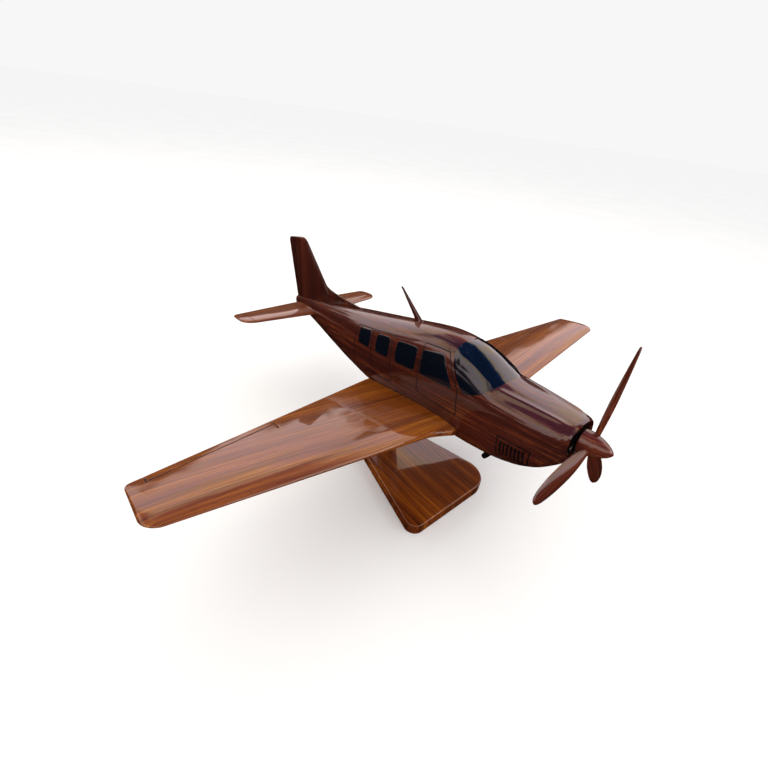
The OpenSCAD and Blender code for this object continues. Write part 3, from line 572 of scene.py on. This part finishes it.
# %% Door lines
REAR_DOORS = [
    [(164.1, 21.8), (161.6, 3), (159.1, -14.5)],
    [(188.8, 18.8), (186.6, 1), (184.4, -17.2)],
    [(210.5, 16.5), (210.5, -21.4)],
    [(164.1, 21.8), (188.8, 18.8), (210.5, 16.5)],
    [(159.1, -14.5), (184.4, -17.2), (210.5, -21.4)]]
FRONT_DOOR = [
    [(131.5, 26.7), (131.2, 8), (130.3, -9.6)],
    [(131.5, 26.7), (120, 27.4), (109.3, 27.3), (104.6, 20.4), (98.5, 12.5), (94.0, 6.6),
     (92.2, -11.3)],
    [(92.2, -11.3), (130.3, -9.6)]]
for side, word in SIDES:
    runs = [(strip(r, on_side(side)),) for r in REAR_DOORS + FRONT_DOOR]
    piece("door_lines_" + word, runs, INK, "model", sharp=60)
print(len(runs), "door lines a side")

# %% [markdown]
# ## Cooling louvres
# Low on each side of the cowling is a framed panel of seven upright slots. The
# frame is an inked line and the slots are small gouge cuts, so each one needs
# its own dark cut with a lip of wood beside it.

# %% Louvre panels
SLOTS, SLOT_Y, SLOT_PITCH = 7, 40.2, 2.5
corners = [(58.6, -9.8), (36.8, -11.2), (38.9, -25.6), (58.9, -25.6)]
for side, word in SIDES:
    put = on_side(side)
    frame_runs = [strip([corners[i], corners[(i + 1) % 4]], put, 0.7, 0.12) for i in range(4)]
    slots, lips = [], []
    for i in range(SLOTS):
        y = SLOT_Y + SLOT_PITCH * i
        slots.append(strip([(y + 0.5, -12.9), (y + 1.1, -23.6)], put, 1.15, 0.06, 0.8))
        lips.append(strip([(y + 1.55, -13.1), (y + 2.1, -23.4)], put, 0.75, 0.42, 0.8))
    piece("louvre_cuts_" + word, [(g,) for g in frame_runs + slots], INK, "model", sharp=60)
    beads = piece("louvre_lips_" + word, [(g,) for g in lips], SHADED_BODY_WOOD, "model", sharp=60)
print(SLOTS, "louvres a side")

# %% [markdown]
# ## Wing panels
# Each panel is planed from a board with its grain running out to the tip, then
# let into the body. The leading edge reaches forward in a glove at the root.
# The aileron is a real groove half a millimetre deep, so the grid is given
# extra rows that follow it at a constant distance from the trailing edge.

# %% Wing plan and section
SPAN, ROOT_C, TIP_C, ROOT_Y, SWEEP, DIHEDRAL = 425.0, 94.0, 36.0, 95.4, 11.7, 6.3
WING_T, WING_LOW, GLOVE, AILERON_C, TIP_R, TIP_TE_R = 0.11, 26.0, 6.0, 5.2, 9.0, 3.0
HALF_SPAN, FLAT_X, GLOVE_X, SEAT_X = SPAN / 2, HALF_W + 1.4, HALF_W + 23.0, HALF_W - 2.3


def foil(t):
    """Half-thickness of a symmetric aerofoil at share t of the chord:
    5 (0.2969 sqrt t - 0.1260 t - 0.3516 t^2 + 0.2843 t^3 - 0.1015 t^4)."""
    return 5 * (0.2969 * np.sqrt(t) - 0.1260 * t - 0.3516 * t ** 2 + 0.2843 * t ** 3 - 0.1015 * t ** 4)


def round_in(x, x_end, r):
    """How far a corner of radius r ending at x_end has drawn an edge in at x."""
    u = np.clip(x - (x_end - r), 0, r)
    return r - np.sqrt(r * r - u * u)


def wing_plan(x):
    """Leading edge, trailing edge, chord height and thickness of the wing at x."""
    e = np.maximum(x, FLAT_X)
    s = np.clip((e - HALF_W) / (HALF_SPAN - HALF_W), 0, 1)
    le = ROOT_Y + SWEEP * s + round_in(e, HALF_SPAN, TIP_R) \
        - GLOVE * (1 - np.clip((e - FLAT_X) / (GLOVE_X - FLAT_X), 0, 1)) ** 1.6
    te = ROOT_Y + ROOT_C + (SWEEP + TIP_C - ROOT_C) * s - round_in(e, HALF_SPAN, TIP_TE_R)
    z = -WING_LOW + (e - HALF_W) * math.tan(math.radians(DIHEDRAL))
    thick = WING_T * (ROOT_C + (TIP_C - ROOT_C) * s) * (1 - 0.45 * round_in(e, HALF_SPAN, TIP_R) / TIP_R)
    return le, te, z, thick


def full_nose(x, t):
    """Extra fullness of the upper surface: the root's leading edge is left thick
    and blunt, 0.7 more at the very front, dying away in 6% of the chord and 80 mm out."""
    return 1 + 0.7 * np.exp(-t / 0.06) * (1 - smooth01((x - FLAT_X) / 80))


def wing_top(x, y):
    """Height of the wing's upper surface at (x, y)."""
    le, te, z, thick = wing_plan(x)
    t = np.clip((y - le) / (te - le), 0, 1)
    return z + 1.12 * thick * foil(t) * full_nose(x, t) + 0.5 * t


def tip_close(x, x_end, r):
    """Quarter-round factor, 1 inboard and 0 at x_end, that closes a tip over r."""
    return np.sqrt(np.clip(1 - (np.clip(x - (x_end - r), 0, r) / r) ** 2, 0, 1))[:, None]


print("root section %.1f mm thick" % wing_plan(FLAT_X)[3])

# %% Wing grid with its aileron groove
GROOVE_D, TICK_D, BACK_D, TIP_CLOSE = 0.45, 10.6, 12.5, 1.8
x_out, x_in = (HALF_W + (HALF_SPAN - HALF_W) * f for f in (0.95, 0.535))
xs = np.concatenate([[SEAT_X], np.linspace(FLAT_X - 1, GLOVE_X, 40),
                     np.linspace(GLOVE_X, HALF_SPAN - TIP_R, 110)[1:],
                     HALF_SPAN - TIP_R + TIP_R * np.sin(np.linspace(0, np.pi / 2, 26)[1:])])
xs = stretch(xs, (x_in, x_out), 0.55)
# chord rows: cosine spacing ahead of BACK_D, then rows at fixed distances from
# the trailing edge, close together at the hinge line and at the tick's end
t01 = (1 - np.cos(np.linspace(0, np.pi, 76))) / 2
le, te, zc, thick = (np.array(q)[:, None] for q in wing_plan(xs))
chord = te - le
hinge = [AILERON_C + d for d in (-0.55, -0.33, 0.0, 0.33, 0.55)]
near = np.sort(hinge + [0.6, 1.6, 2.8, 4.0, 6.2, 7.6, 9.0, 10.0, 10.7, BACK_D])[::-1]
near = np.broadcast_to(near, (len(xs), len(near)))
d_te = np.concatenate([chord - (chord - BACK_D) * t01[None, :-1], near, np.zeros((len(xs), 1))], 1)
share = np.clip(1 - d_te / chord, 0, 1)                 # 0 at the nose, 1 at the trailing edge
end = tip_close(xs, HALF_SPAN, TIP_CLOSE)
upper = (thick * 1.12 * foil(share) * full_nose(xs[:, None], share) + 0.5 * share) * end
lower = (-thick * 0.88 * foil(share) - 0.5 * share) * end
X = np.broadcast_to(xs[:, None], share.shape)
in_panel = (X > x_in - 0.2) & (X < x_out + 0.2)
FAR = 99
across = np.minimum(np.abs(X - x_in) + FAR * (d_te > TICK_D),
                    np.abs(X - x_out) + FAR * (d_te > AILERON_C + 0.2))
groove = np.minimum(np.where(in_panel, np.abs(d_te - AILERON_C), FAR), across)
depth = smooth01((0.52 - groove) / 0.2) * (d_te > 0.3)
top_grid = np.stack([X, le + chord * share, zc + upper - GROOVE_D * depth], -1)
low_grid = np.stack([X, le + chord * share, zc + lower], -1)
loop = np.concatenate([top_grid[:, ::-1], low_grid[:, 1:]], 1)
ink = np.concatenate([depth[:, ::-1] * 0.9, 0 * depth[:, 1:]], 1)
loop = np.concatenate([pole(loop), loop])
ink = np.concatenate([ink[:1] * 0, ink])
print("wing grid", loop.shape[:2])

# %% Wing panels and root seams
for side, word in SIDES:
    g = loop * [side, 1, 1]
    level_z = g[..., 2] - wing_plan(np.abs(g[..., 0]))[2]          # height within the plank
    grain = np.stack([g[..., 1] - 0.05 * np.abs(g[..., 0]), g[..., 0] + 300, level_z], -1)
    ob = piece("wing_skin_" + word, [(g, grain, ink)], WING_WOOD[word], "model", sharp=48)
    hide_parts("wing_" + word)
    # the seam curls round the leading edge and runs aft along the root
    nose = [(91.6, -28.4), (89.6, -27.3), (88.8, -25.9), (89.0, -24.4)]
    seam = [(y, float(wing_top(FLAT_X, y)) + 0.35) for y in np.linspace(89.8, 188.5, 90)]
    root = strip(nose + seam, on_side(side), 0.9, 0.16)
    piece("root_seam_" + word, [(root,)], INK, "model", sharp=60)
print("wing", len(ob.data.polygons), "faces per panel")

# %% [markdown]
# ## Tail surfaces
# The tailplane halves are thinner boards shaped like the wing. The fin stands
# in a slot in the spine, and a long low fillet runs forward from its foot.

# %% Tailplane
TAIL_SPAN, TAIL_ROOT, TAIL_TIP, TAIL_TE, TAIL_Z = 160.0, 45.6, 29.0, 336.4, 1.0
TAIL_R, TAIL_RAKE, CUT_X, ROWS = 12, 3.7, 70.0, 64
TH = TAIL_SPAN / 2
tail_flat = float(body_x(TAIL_TE - TAIL_ROOT, TAIL_Z)) + 1
tail_seat = float(body_x(TAIL_TE - 8, TAIL_Z)) * 0.62
xs = np.concatenate([[tail_seat], np.linspace(tail_flat - 3, TH - TAIL_R, 46),
                     TH - TAIL_R + TAIL_R * np.sin(np.linspace(0, np.pi / 2, 30)[1:])])
xs = stretch(xs, (CUT_X,), 0.33)
e = np.maximum(xs, tail_flat)[:, None]
s = np.clip(e / TH, 0, 1)
te = TAIL_TE - TAIL_RAKE * s - round_in(e, TH, 5)
le = TAIL_TE - TAIL_ROOT + (TAIL_ROOT - TAIL_TIP - TAIL_RAKE) * s + round_in(e, TH, TAIL_R)
thick = 0.105 * (TAIL_ROOT + (TAIL_TIP - TAIL_ROOT) * s) * (1 - 0.45 * round_in(e, TH, TAIL_R) / TAIL_R)
end = tip_close(xs, TH, 1.4)
share = (1 - np.cos(np.linspace(0, np.pi, ROWS)))[None] / 2
X = np.broadcast_to(xs[:, None], (len(xs), ROWS))
depth = smooth01((0.33 - np.abs(X - CUT_X)) / 0.22) * (share < 0.985)
upper = (thick * 1.12 * foil(share) + 0.45 * share) * end - 0.35 * depth
lower = (-thick * 0.88 * foil(share) - 0.45 * share) * end
Y = le + (te - le) * share
loop = np.concatenate([np.stack([X, Y, TAIL_Z + upper], -1)[:, ::-1],
                       np.stack([X, Y, TAIL_Z + lower], -1)[:, 1:]], 1)
ink = np.concatenate([depth[:, ::-1] * 0.8, depth[:, 1:] * 0], 1)
loop = np.concatenate([pole(loop), loop])
ink = np.concatenate([ink[:1] * 0, ink])
for side, word in SIDES:
    g = loop * [side, 1, 1]
    grain = np.stack([g[..., 1], g[..., 0] + 150, g[..., 2]], -1)
    ob = piece("tailplane_skin_" + word, [(g, grain, ink)], TAIL_WOOD, "model", sharp=48)
    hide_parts("tailplane_" + word)
print("tailplane", len(ob.data.polygons), "faces per half")

# %% Fin plan
FIN_TE0, FIN_RAKE, FIN_H, FIN_TIP_C = NOSE_Y + BODY_L - 3.3, 10.0, 70.0, 31.0
FIN_T, TIP_ROUND, FIN_EDGE, TIP_SLOPE = 6.0, 5.0, 0.7, 0.11
FILLET_Y, FILLET_RISE = NOSE_Y + 0.632 * BODY_L, 10.0
FIN_LE0 = FIN_TE0 - 63
fin_foot = float(body_sizes(FIN_TE0 - 4)[1]) - 3
fillet_z = float(body_sizes(FILLET_Y)[1]) + 0.2
te_top = float(body_sizes(FIN_TE0)[1])


def fin_plan(z):
    """Leading edge, trailing edge, fillet front and thickness of the fin at z."""
    up_share = np.clip((z - fillet_z) / (FIN_H - fillet_z), 0, 1)
    draw = round_in(z, FIN_H, TIP_ROUND)
    raked = FIN_TE0 + FIN_RAKE * (z - te_top) / (FIN_H - te_top) - 0.25 * draw \
        - round_in(z, FIN_H, 2.6) * 0.8
    te = np.where(z <= fin_foot, FIN_TE0, raked)
    le = FIN_LE0 + (FIN_TE0 + FIN_RAKE - FIN_TIP_C - FIN_LE0) * up_share + draw
    fall = (1 - np.clip((z - fillet_z) / FILLET_RISE, 0, 1)) ** 3.2
    front = np.where(z < fillet_z, FILLET_Y, le - 0.6 - (le - 0.6 - FILLET_Y) * fall)
    return le, te, front, FIN_T * (1 - 0.5 * up_share) * (1 - 0.4 * draw / TIP_ROUND)


def fin_half(thick, t):
    """Half-thickness of the fin at share t of its chord, never under FIN_EDGE."""
    return np.maximum(FIN_EDGE, thick * foil(t) + 0.45 * t)


print("fillet starts %.0f mm aft of the nose" % (FILLET_Y - NOSE_Y))

# %% Fin and fillet
zs = np.concatenate([[fin_foot], np.linspace(fin_foot + 1, fillet_z, 12),
                     fillet_z + FILLET_RISE * np.linspace(0.1, 1, 34) ** 2,
                     np.linspace(fillet_z + FILLET_RISE, FIN_H - TIP_ROUND, 40)[1:],
                     FIN_H - TIP_ROUND + TIP_ROUND * np.sin(np.linspace(0, np.pi / 2, 22)[1:])])
le, te, front_y, thick = (q[:, None] for q in fin_plan(zs))
u = (1 + np.cos(np.linspace(0, np.pi, 60)))[None] / 2
half_t = fin_half(thick, u)
# the fillet is a thin ledge ahead of the leading edge that spreads where it joins
w = np.linspace(0, 1, 26)[None, 1:]
ledge_y = le + (front_y - le) * w
spread = (np.maximum(FIN_EDGE, thick * 0.42) - FIN_EDGE) * (1 - w) ** 3
ledge_x = FIN_EDGE * np.sqrt(1 - w ** 12) * np.ones_like(le) \
    + spread * smooth01((fillet_z + 9 - zs) / 9)[:, None]
side_y = np.concatenate([le + (te - le) * u, ledge_y], 1)
side_x = np.concatenate([half_t, ledge_x], 1) * tip_close(zs, FIN_H, 1.3)
# the tip slopes down aft by TIP_SLOPE of the distance behind the leading edge
Z = np.broadcast_to(zs[:, None], side_x.shape)
Z = Z - TIP_SLOPE * np.maximum(0, side_y - le) * np.clip((Z - fillet_z) / (FIN_H - fillet_z), 0, 1)
right = np.stack([side_x, side_y, Z], -1)
left = np.stack([-side_x, side_y, Z], -1)
loop = np.concatenate([left, right[:, ::-1]], 1)
loop = np.concatenate([pole(loop), loop])
grain = np.stack([loop[..., 1], loop[..., 2] + 40, loop[..., 0]], -1)
ob = piece("fin_skin", [(loop, grain)], FIN_WOOD, "model", sharp=52)
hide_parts("fin")
print("fin", len(ob.data.polygons), "faces")

# %% Rudder line


def on_fin(side):
    """Puts flat (y, z) points on the fin's side."""
    def place(f, lift):
        y, z = f[..., 0], f[..., 1]
        le, te, _, thick = fin_plan(z)
        t = np.clip((y - le) / (te - le), 0, 1)
        return np.stack([side * (fin_half(thick, t) + lift), y, z], -1)
    return place


cut = [(FIN_TE0 - 10.8, te_top + 1.5), (FIN_TE0 + FIN_RAKE - 11.6, FIN_H - 3.2)]
lines = [(strip(cut, on_fin(side), 0.6, 0.09),) for side in (-1, 1)]
ob = piece("rudder_line", lines, INK, "model", sharp=60)
print("rudder line", len(ob.data.polygons), "faces")

# %% [markdown]
# ## Antenna and exhaust pipes
# The antenna is a whittled spike raked back over the cabin. The exhaust pipes
# are short black dowels drilled at their ends.

# %% Antenna
mast_y, MAST_H, MAST_RAKE = NOSE_Y + 135.6, 23.0, 22.7
FOOT_RX, FOOT_RY, TOP_RX, TOP_RY = 1.75, 4.1, 0.7, 0.98
mast_foot = float(body_sizes(mast_y)[1])
s = np.concatenate([np.linspace(0, 1, 40), 1 + 0.02 * np.sin(np.linspace(0, np.pi / 2, 8)[1:])])[:, None]
th = np.linspace(0, 2 * np.pi, 40, endpoint=False)[None]
end = np.sqrt(np.clip(1 - (np.clip(s - 1, 0, 0.02) / 0.02) ** 2, 0, 1))
flare = 1.7 * np.exp(-s / 0.05)
rx = (FOOT_RX + (TOP_RX - FOOT_RX) * s + flare) * end
ry = (FOOT_RY + (TOP_RY - FOOT_RY) * s + flare * 1.4) * end
g = np.stack([rx * np.cos(th), mast_y + MAST_RAKE * s + ry * np.sin(th),
              mast_foot - 1.4 + MAST_H * s + 0 * th], -1)
g = np.concatenate([pole(g), g])
grain = np.stack([g[..., 0], g[..., 2] * 2, g[..., 1]], -1)
ob = piece("antenna_spike", [(g, grain)], FIN_WOOD, "model", sharp=50)
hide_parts("antenna")
print("antenna", len(ob.data.polygons), "faces")

# %% Exhaust pipes


def turned(profile, origin, axis, n=64, aside=(1.0, 0.0, 0.0)):
    """Surface of revolution: profile rows are (distance along the axis, radius)."""
    p = np.array(profile, float)
    a = np.array(axis, float); a = a / np.linalg.norm(a)
    e1 = np.cross(a, np.cross(aside, a)); e1 = e1 / np.linalg.norm(e1)
    e2 = np.cross(a, e1)
    th = np.linspace(0, 2 * np.pi, n, endpoint=False)
    ring = np.cos(th)[:, None] * e1 + np.sin(th)[:, None] * e2
    return np.array(origin, float) + p[:, :1, None] * a + p[:, 1:, None] * ring[None]


stub_y = NOSE_Y + 46
stub_low = float(body_sizes(stub_y)[2]) + 7
tilt = math.radians(-145)
lean = (0.0, -math.sin(tilt), math.cos(tilt))
pipe = [(-2, 0), (-2, 2.1), (11.4, 2.1), (11.75, 2.02), (11.95, 1.85), (12, 1.6), (11.85, 1.45),
        (11.5, 1.4), (8.5, 1.35), (8.4, 0)]
grids = [(turned(pipe, (s * HALF_W * 0.47, stub_y, stub_low), lean, 48),) for s in (-1, 1)]
ob = piece("exhaust_pipes", grids, TRIM_BLACK, "model", sharp=30)
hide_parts("exhaust_stubs")
print("exhaust pipes", len(ob.data.polygons), "faces")

# %% [markdown]
# ## Propeller
# The spinner is turned, so it is a profile swept round the axle. Each blade is
# carved: its section is a thin lens that turns from 44 degrees at the root to
# 20 at the tip, widest two thirds of the way out.

# %% Spinner
SPINNER_L, SPINNER_D, PROP_D, BLADE_C, PHASE = 18.0, 15.6, 121.0, 9.9, 22.9
t = np.linspace(0, 1, 60) ** 1.6
nose = np.stack([SPINNER_L * t, SPINNER_D / 2 * (1 - (1 - t) ** 1.8) ** 0.64], -1)
back = [(SPINNER_L - 0.3, SPINNER_D / 2), (SPINNER_L - 0.08, SPINNER_D / 2 - 0.1),
        (SPINNER_L, SPINNER_D / 2 - 0.5), (SPINNER_L, 2.0), (SPINNER_L, 0)]
g = turned(np.concatenate([nose[:-1], back]), (0, 0, 0), (0, 1, 0), 120)
ob = piece("spinner_cone", [(g,)], PROP_WOOD, "propeller", sharp=40)
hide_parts("spinner")
print("spinner", len(ob.data.polygons), "faces")

# %% Blades
ROOT_R, ROOT_TWIST, TIP_TWIST = 4.2, 44, 20
BLADE = np.array([                            # share of length, share of widest chord, thickness
    [0.00, 0.32, 2.9], [0.10, 0.50, 2.7], [0.28, 0.80, 2.5], [0.48, 0.98, 2.3], [0.66, 1.00, 2.1],
    [0.80, 0.92, 1.9], [0.89, 0.80, 1.7], [0.95, 0.62, 1.5], [0.985, 0.38, 1.2], [1.00, 0.14, 0.9]])
s = np.concatenate([np.linspace(0, 0.88, 60), 0.88 + 0.12 * np.sin(np.linspace(0, np.pi / 2, 34)[1:])])
blend_c = curve(BLADE, 1, s)[:, None]
thick = curve(BLADE, 2, s)[:, None]
r = (ROOT_R + (PROP_D / 2 - ROOT_R) * s)[:, None]
tw = np.radians(ROOT_TWIST + (TIP_TWIST - ROOT_TWIST) * s)[:, None]
th = np.linspace(0, 2 * np.pi, 72, endpoint=False)[None]
tip = tip_close(s, 1.0, 0.015)
cu = np.cos(th) * BLADE_C * blend_c / 2 * tip
cv = np.sin(th) * np.abs(np.sin(th)) ** 0.25 * thick / 2 * tip
blade = np.stack([cu * np.cos(tw) - cv * np.sin(tw), cu * np.sin(tw) + cv * np.cos(tw), r + 0 * th], -1)
blade = np.concatenate([pole(blade), blade])
for k in range(3):
    a = math.radians(PHASE + 120 * k)
    turn = np.array([[math.cos(a), 0, math.sin(a)], [0, 1, 0], [-math.sin(a), 0, math.cos(a)]])
    g = blade @ turn.T + [0, BLADE_Y, 0]
    grain = np.stack([blade[..., 0] + 50 * k, blade[..., 2], blade[..., 1]], -1)
    ob = piece("blade_%d_skin" % (k + 1), [(g, grain)], PROP_WOOD, "propeller", sharp=60)
    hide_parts("blade_%d" % (k + 1))
print("blades", len(ob.data.polygons), "faces each")

# %% [markdown]
# ## Stand
# The board under the model is a flat mahogany plate, wide at the front and
# narrow at the rear, its top edge broken by a small rounded chamfer. A leaning
# arm rises from it and holds the steel pin.

# %% Base board
BASE_L, FRONT_W, REAR_W, BASE_T, CHAMFER = 130.0, 104.0, 40.0, 10.0, 1.2


def board_outline(n=22):
    """Tapered outline with a round of n points at each corner. Each corner is an
    arc between the directions of its two edges."""
    f, b, l = FRONT_W / 2, REAR_W / 2, BASE_L / 2
    lean = math.atan2(f - b, BASE_L)
    out = []
    for sx, sy, w, r in ((1, -1, f, 20.0), (1, 1, b, 8.0), (-1, 1, b, 8.0), (-1, -1, f, 9.0)):
        turn = math.pi / 2 - lean if sy < 0 else math.pi / 2 + lean
        c = np.array([sx * (w - r / math.tan(turn / 2)), sy * (l - r)])
        a0, a1 = (-math.pi / 2, lean) if sy < 0 else (lean, math.pi / 2)
        a = np.linspace(a0, a1, n)
        a = a if sx > 0 else (math.pi - a)[::-1]
        out.append(c + r * np.stack([np.cos(a), np.sin(a)], -1))
    p = np.concatenate(out)
    q = np.concatenate([p, p[:1]])
    d = np.concatenate([[0], np.cumsum(np.hypot(*np.diff(q, axis=0).T))])
    fine = np.unique(np.concatenate([d[:-1], np.linspace(0, d[-1], 200)[:-1]]))
    return np.stack([np.interp(fine, d, q[:, i]) for i in (0, 1)], -1)


steps = [(5.0, 0.0), (0.9, 0.0), (0.25, 0.25), (0.0, 0.9)]      # inset and height of each ring
steps += [(0.0, z) for z in np.linspace(1.2, BASE_T - CHAMFER, 7)]
steps += [(CHAMFER * (1 - math.cos(a)), BASE_T - CHAMFER + CHAMFER * math.sin(a))
          for a in np.linspace(0.2, math.pi / 2, 8)]
outer = board_outline()
n = np.roll(outer, -1, 0) - np.roll(outer, 1, 0)
n = np.stack([n[:, 1], -n[:, 0]], -1) / np.hypot(*n.T)[:, None]
loops = np.array([np.concatenate([outer - n * inset, np.full((len(outer), 1), z)], 1)
                  for inset, z in steps])
fill_in = np.linspace(1, 0, 14)[1:, None, None]
top_fill = loops[-1][None] * [1, 1, 0] * fill_in + [0, 0, BASE_T]
low_fill = loops[0][None] * [1, 1, 0] * fill_in[::-1]
board = np.concatenate([low_fill, loops, top_fill])
ob = piece("base_board", [(board,)], BASE_WOOD, "stand", in_row=True, sharp=60)
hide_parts("stand_base")
print("base board", len(ob.data.polygons), "faces")

# %% Leaning arm
PIN_Y, LEAN, ARM_W, ARM_D, HEAD_Z = 8.0, 23.0, 20.0, 15.0, BASE_T + 61.4 - 0.3
t = np.concatenate([[0], np.linspace(0, 1, 60)])
th = np.linspace(0, 2 * np.pi, 96, endpoint=False)
c, s_ = np.cos(th), np.sin(th)
sq = np.stack([np.sign(c) * np.abs(c) ** 0.42, np.sign(s_) * np.abs(s_) ** 0.42], -1)
flare = 1 + 0.16 * np.exp(-t / 0.04)
wide = (ARM_W / 2 * (1 - 0.28 * t) * flare)[:, None]
deep = (ARM_D / 2 * (1 - 0.20 * t) * flare)[:, None]
arm = np.stack([wide * sq[None, :, 0], PIN_Y + LEAN * (1 - t)[:, None] + deep * sq[None, :, 1],
                (BASE_T + (HEAD_Z - BASE_T) * t)[:, None] + 0 * sq[None, :, 0]], -1)
edge_in = np.array([0.97, 0.93, 0.86, 0.8, 0.6, 0.4, 0.3])[:, None, None]
head_mid = arm[-1].mean(0)
arm[-1, :, 2] -= 0.5
lid = head_mid + (arm[-1] - head_mid) * [1, 1, 0] * edge_in
lid[..., 2] = HEAD_Z - 0.02
arm[0] = arm[1].mean(0)
arm = np.concatenate([arm, lid, np.broadcast_to(head_mid - [0, 0, 0.02], (1, 96, 3))])
grain = np.stack([arm[..., 0] + 70, arm[..., 2] + 90, arm[..., 1]], -1)
ob = piece("stand_arm_wood", [(arm, grain)], BASE_WOOD, "stand", in_row=True, sharp=60)
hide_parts("stand_arm")
print("arm", len(ob.data.polygons), "faces")

# %% [markdown]
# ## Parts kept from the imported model
# The pin, the bush, the axle, the dowels and the screws are true turned parts
# already, so they keep their own meshes and only need their finishes.

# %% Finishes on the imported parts
KEPT = {"nose_bush": NOSE_SHADE_BRASS, "thrust_washer": NOSE_SHADE_BRASS, "belly_ferrule": BRASS,
        "support_pin": STEEL, "prop_axle": STEEL, "arm_screws": STEEL,
        "wing_dowels": DOWEL, "tail_dowels": DOWEL, "fin_dowels": DOWEL}
for name, mat in KEPT.items():
    ob = frame["nodes"][name]
    if not ob.material_slots:
        ob.data.materials.append(mat)
    for place in ob.material_slots:
        place.material = mat
print(len(KEPT), "packed parts finished")

# %% [markdown]
# ## Light and floor
# A pale floor, a big soft light overhead for shadows, and one narrow window in
# front. Polished lacquer shows whatever stands round it, so most of the look
# comes from the room: the overhead light and the floor are hidden from
# reflections, and the sides, which then mirror only a dark room, stay dark.
# The body's wood is also coloured darker as painted shade for its sides.

# %% Floor
m, t, bsdf = finish_of("matt_white_floor")
at = add(t, "TexCoord").outputs["Object"]
mottle = add(t, "TexNoise", {"Vector": at, "Scale": 6.0, "Detail": 3.0}).outputs["Fac"]
tint = ramp(t, mottle, [(0.3, linear("#fbfbfb")), (0.7, linear("#ffffff"))])
t.links.new(tint, bsdf.inputs["Base Color"])
bsdf.inputs["Roughness"].default_value = 0.9
bsdf.inputs["Specular IOR Level"].default_value = 0.0
me = bpy.data.meshes.new("floor")
me.from_pydata([(-30, -30, 0), (30, -30, 0), (30, 30, 0), (-30, 30, 0)], [], [(0, 1, 2, 3)])
me.materials.append(m)
floor = bpy.data.objects.new("floor", me)
bpy.context.scene.collection.objects.link(floor)
floor.visible_glossy = False            # the lacquer mirrors the dark room, not the floor
print("floor laid")

# %% Lights


def softbox(name, place, aim, size, watts, colour="#ffffff"):
    """Square or oblong area light at place, facing aim, in metres."""
    data = bpy.data.lights.new(name, "AREA")
    data.shape, data.size, data.size_y = "RECTANGLE", size[0], size[1]
    data.energy, data.color = watts, linear(colour)[:3]
    ob = bpy.data.objects.new(name, data)
    ob.location = place
    ob.rotation_euler = (Vector(aim) - Vector(place)).to_track_quat("-Z", "Y").to_euler()
    bpy.context.scene.collection.objects.link(ob)
    return ob


middle = (0.0, 0.0, 0.08)
key = softbox("overhead", (-0.3, 0.2, 1.6), middle, (2.2, 2.2), 11.0, "#fff1e0")
key.visible_glossy = False
# a long narrow window in front puts a bright line on edges and leading edges
softbox("front_window", (0.55, -1.25, 1.0), middle, (0.9, 0.14), 2.6, "#f4f2ff")
print(len(bpy.data.lights), "lights")

# %% [markdown]
# The room round the model is one soft gradient. Rough surfaces and the eye see
# it as plain white; the lacquer mirrors its other side: dark below and at the
# horizon, a pale band above that from mauve to tan, and deep blue overhead.

# %% Room
world = bpy.data.worlds.new("soft_room")
bpy.context.scene.world = world
world.use_nodes = True
wt = world.node_tree
way = add(wt, "TexCoord").outputs["Generated"]
height = add(wt, "SeparateXYZ", {0: way}).outputs["Z"]
drift = add(wt, "TexNoise", {"Vector": way, "Scale": 2.2, "Detail": 5.0, "Roughness": 0.55}).outputs["Fac"]
place = add(wt, "Math", {0: drift, 1: 1.3, 2: height}, operation="MULTIPLY_ADD").outputs[0]
place = add(wt, "Math", {0: place, 1: 0.65}, operation="SUBTRACT").outputs[0]
mirror = ramp(wt, place, [(0.06, linear("#060404")), (0.25, linear("#1c120e")), (0.32, linear("#ccb8b2")),
                          (0.48, linear("#cabcc6")), (0.60, linear("#d8c2a8")), (0.70, linear("#bfa994")),
                          (0.80, linear("#173462")), (0.98, linear("#081f48"))])
seen = add(wt, "LightPath")
glossy = seen.outputs["Is Glossy Ray"]
colour = add(wt, "Mix", {0: glossy, 6: linear("#ffffff"), 7: mirror}, data_type="RGBA").outputs[2]
level = add(wt, "MapRange", {"Value": glossy, "To Min": 0.93, "To Max": 3.4}).outputs[0]
back = wt.nodes["Background"]
wt.links.new(colour, back.inputs["Color"])
wt.links.new(level, back.inputs["Strength"])
bpy.context.scene.view_settings.view_transform = "Standard"
print("room", len(wt.nodes), "nodes")

# %% Camera
cam_data = bpy.data.cameras.new("camera")
cam_data.lens, cam_data.sensor_width, cam_data.dof.use_dof = 18.72, 36.0, False
cam = bpy.data.objects.new("camera", cam_data)
forward = Vector((0.58295, 0.59071, -0.55790)).normalized()
right = Vector((0.75991, -0.63942, 0.11702)).normalized()
above = right.cross(forward).normalized()
turn = Matrix((right, above, -forward)).transposed().to_4x4()
cam.matrix_world = Matrix.Translation((-0.2149, -0.1762, 0.2719)) @ turn
bpy.context.scene.collection.objects.link(cam)
bpy.context.scene.camera = cam
print("camera", tuple(round(v, 4) for v in cam.matrix_world.translation))
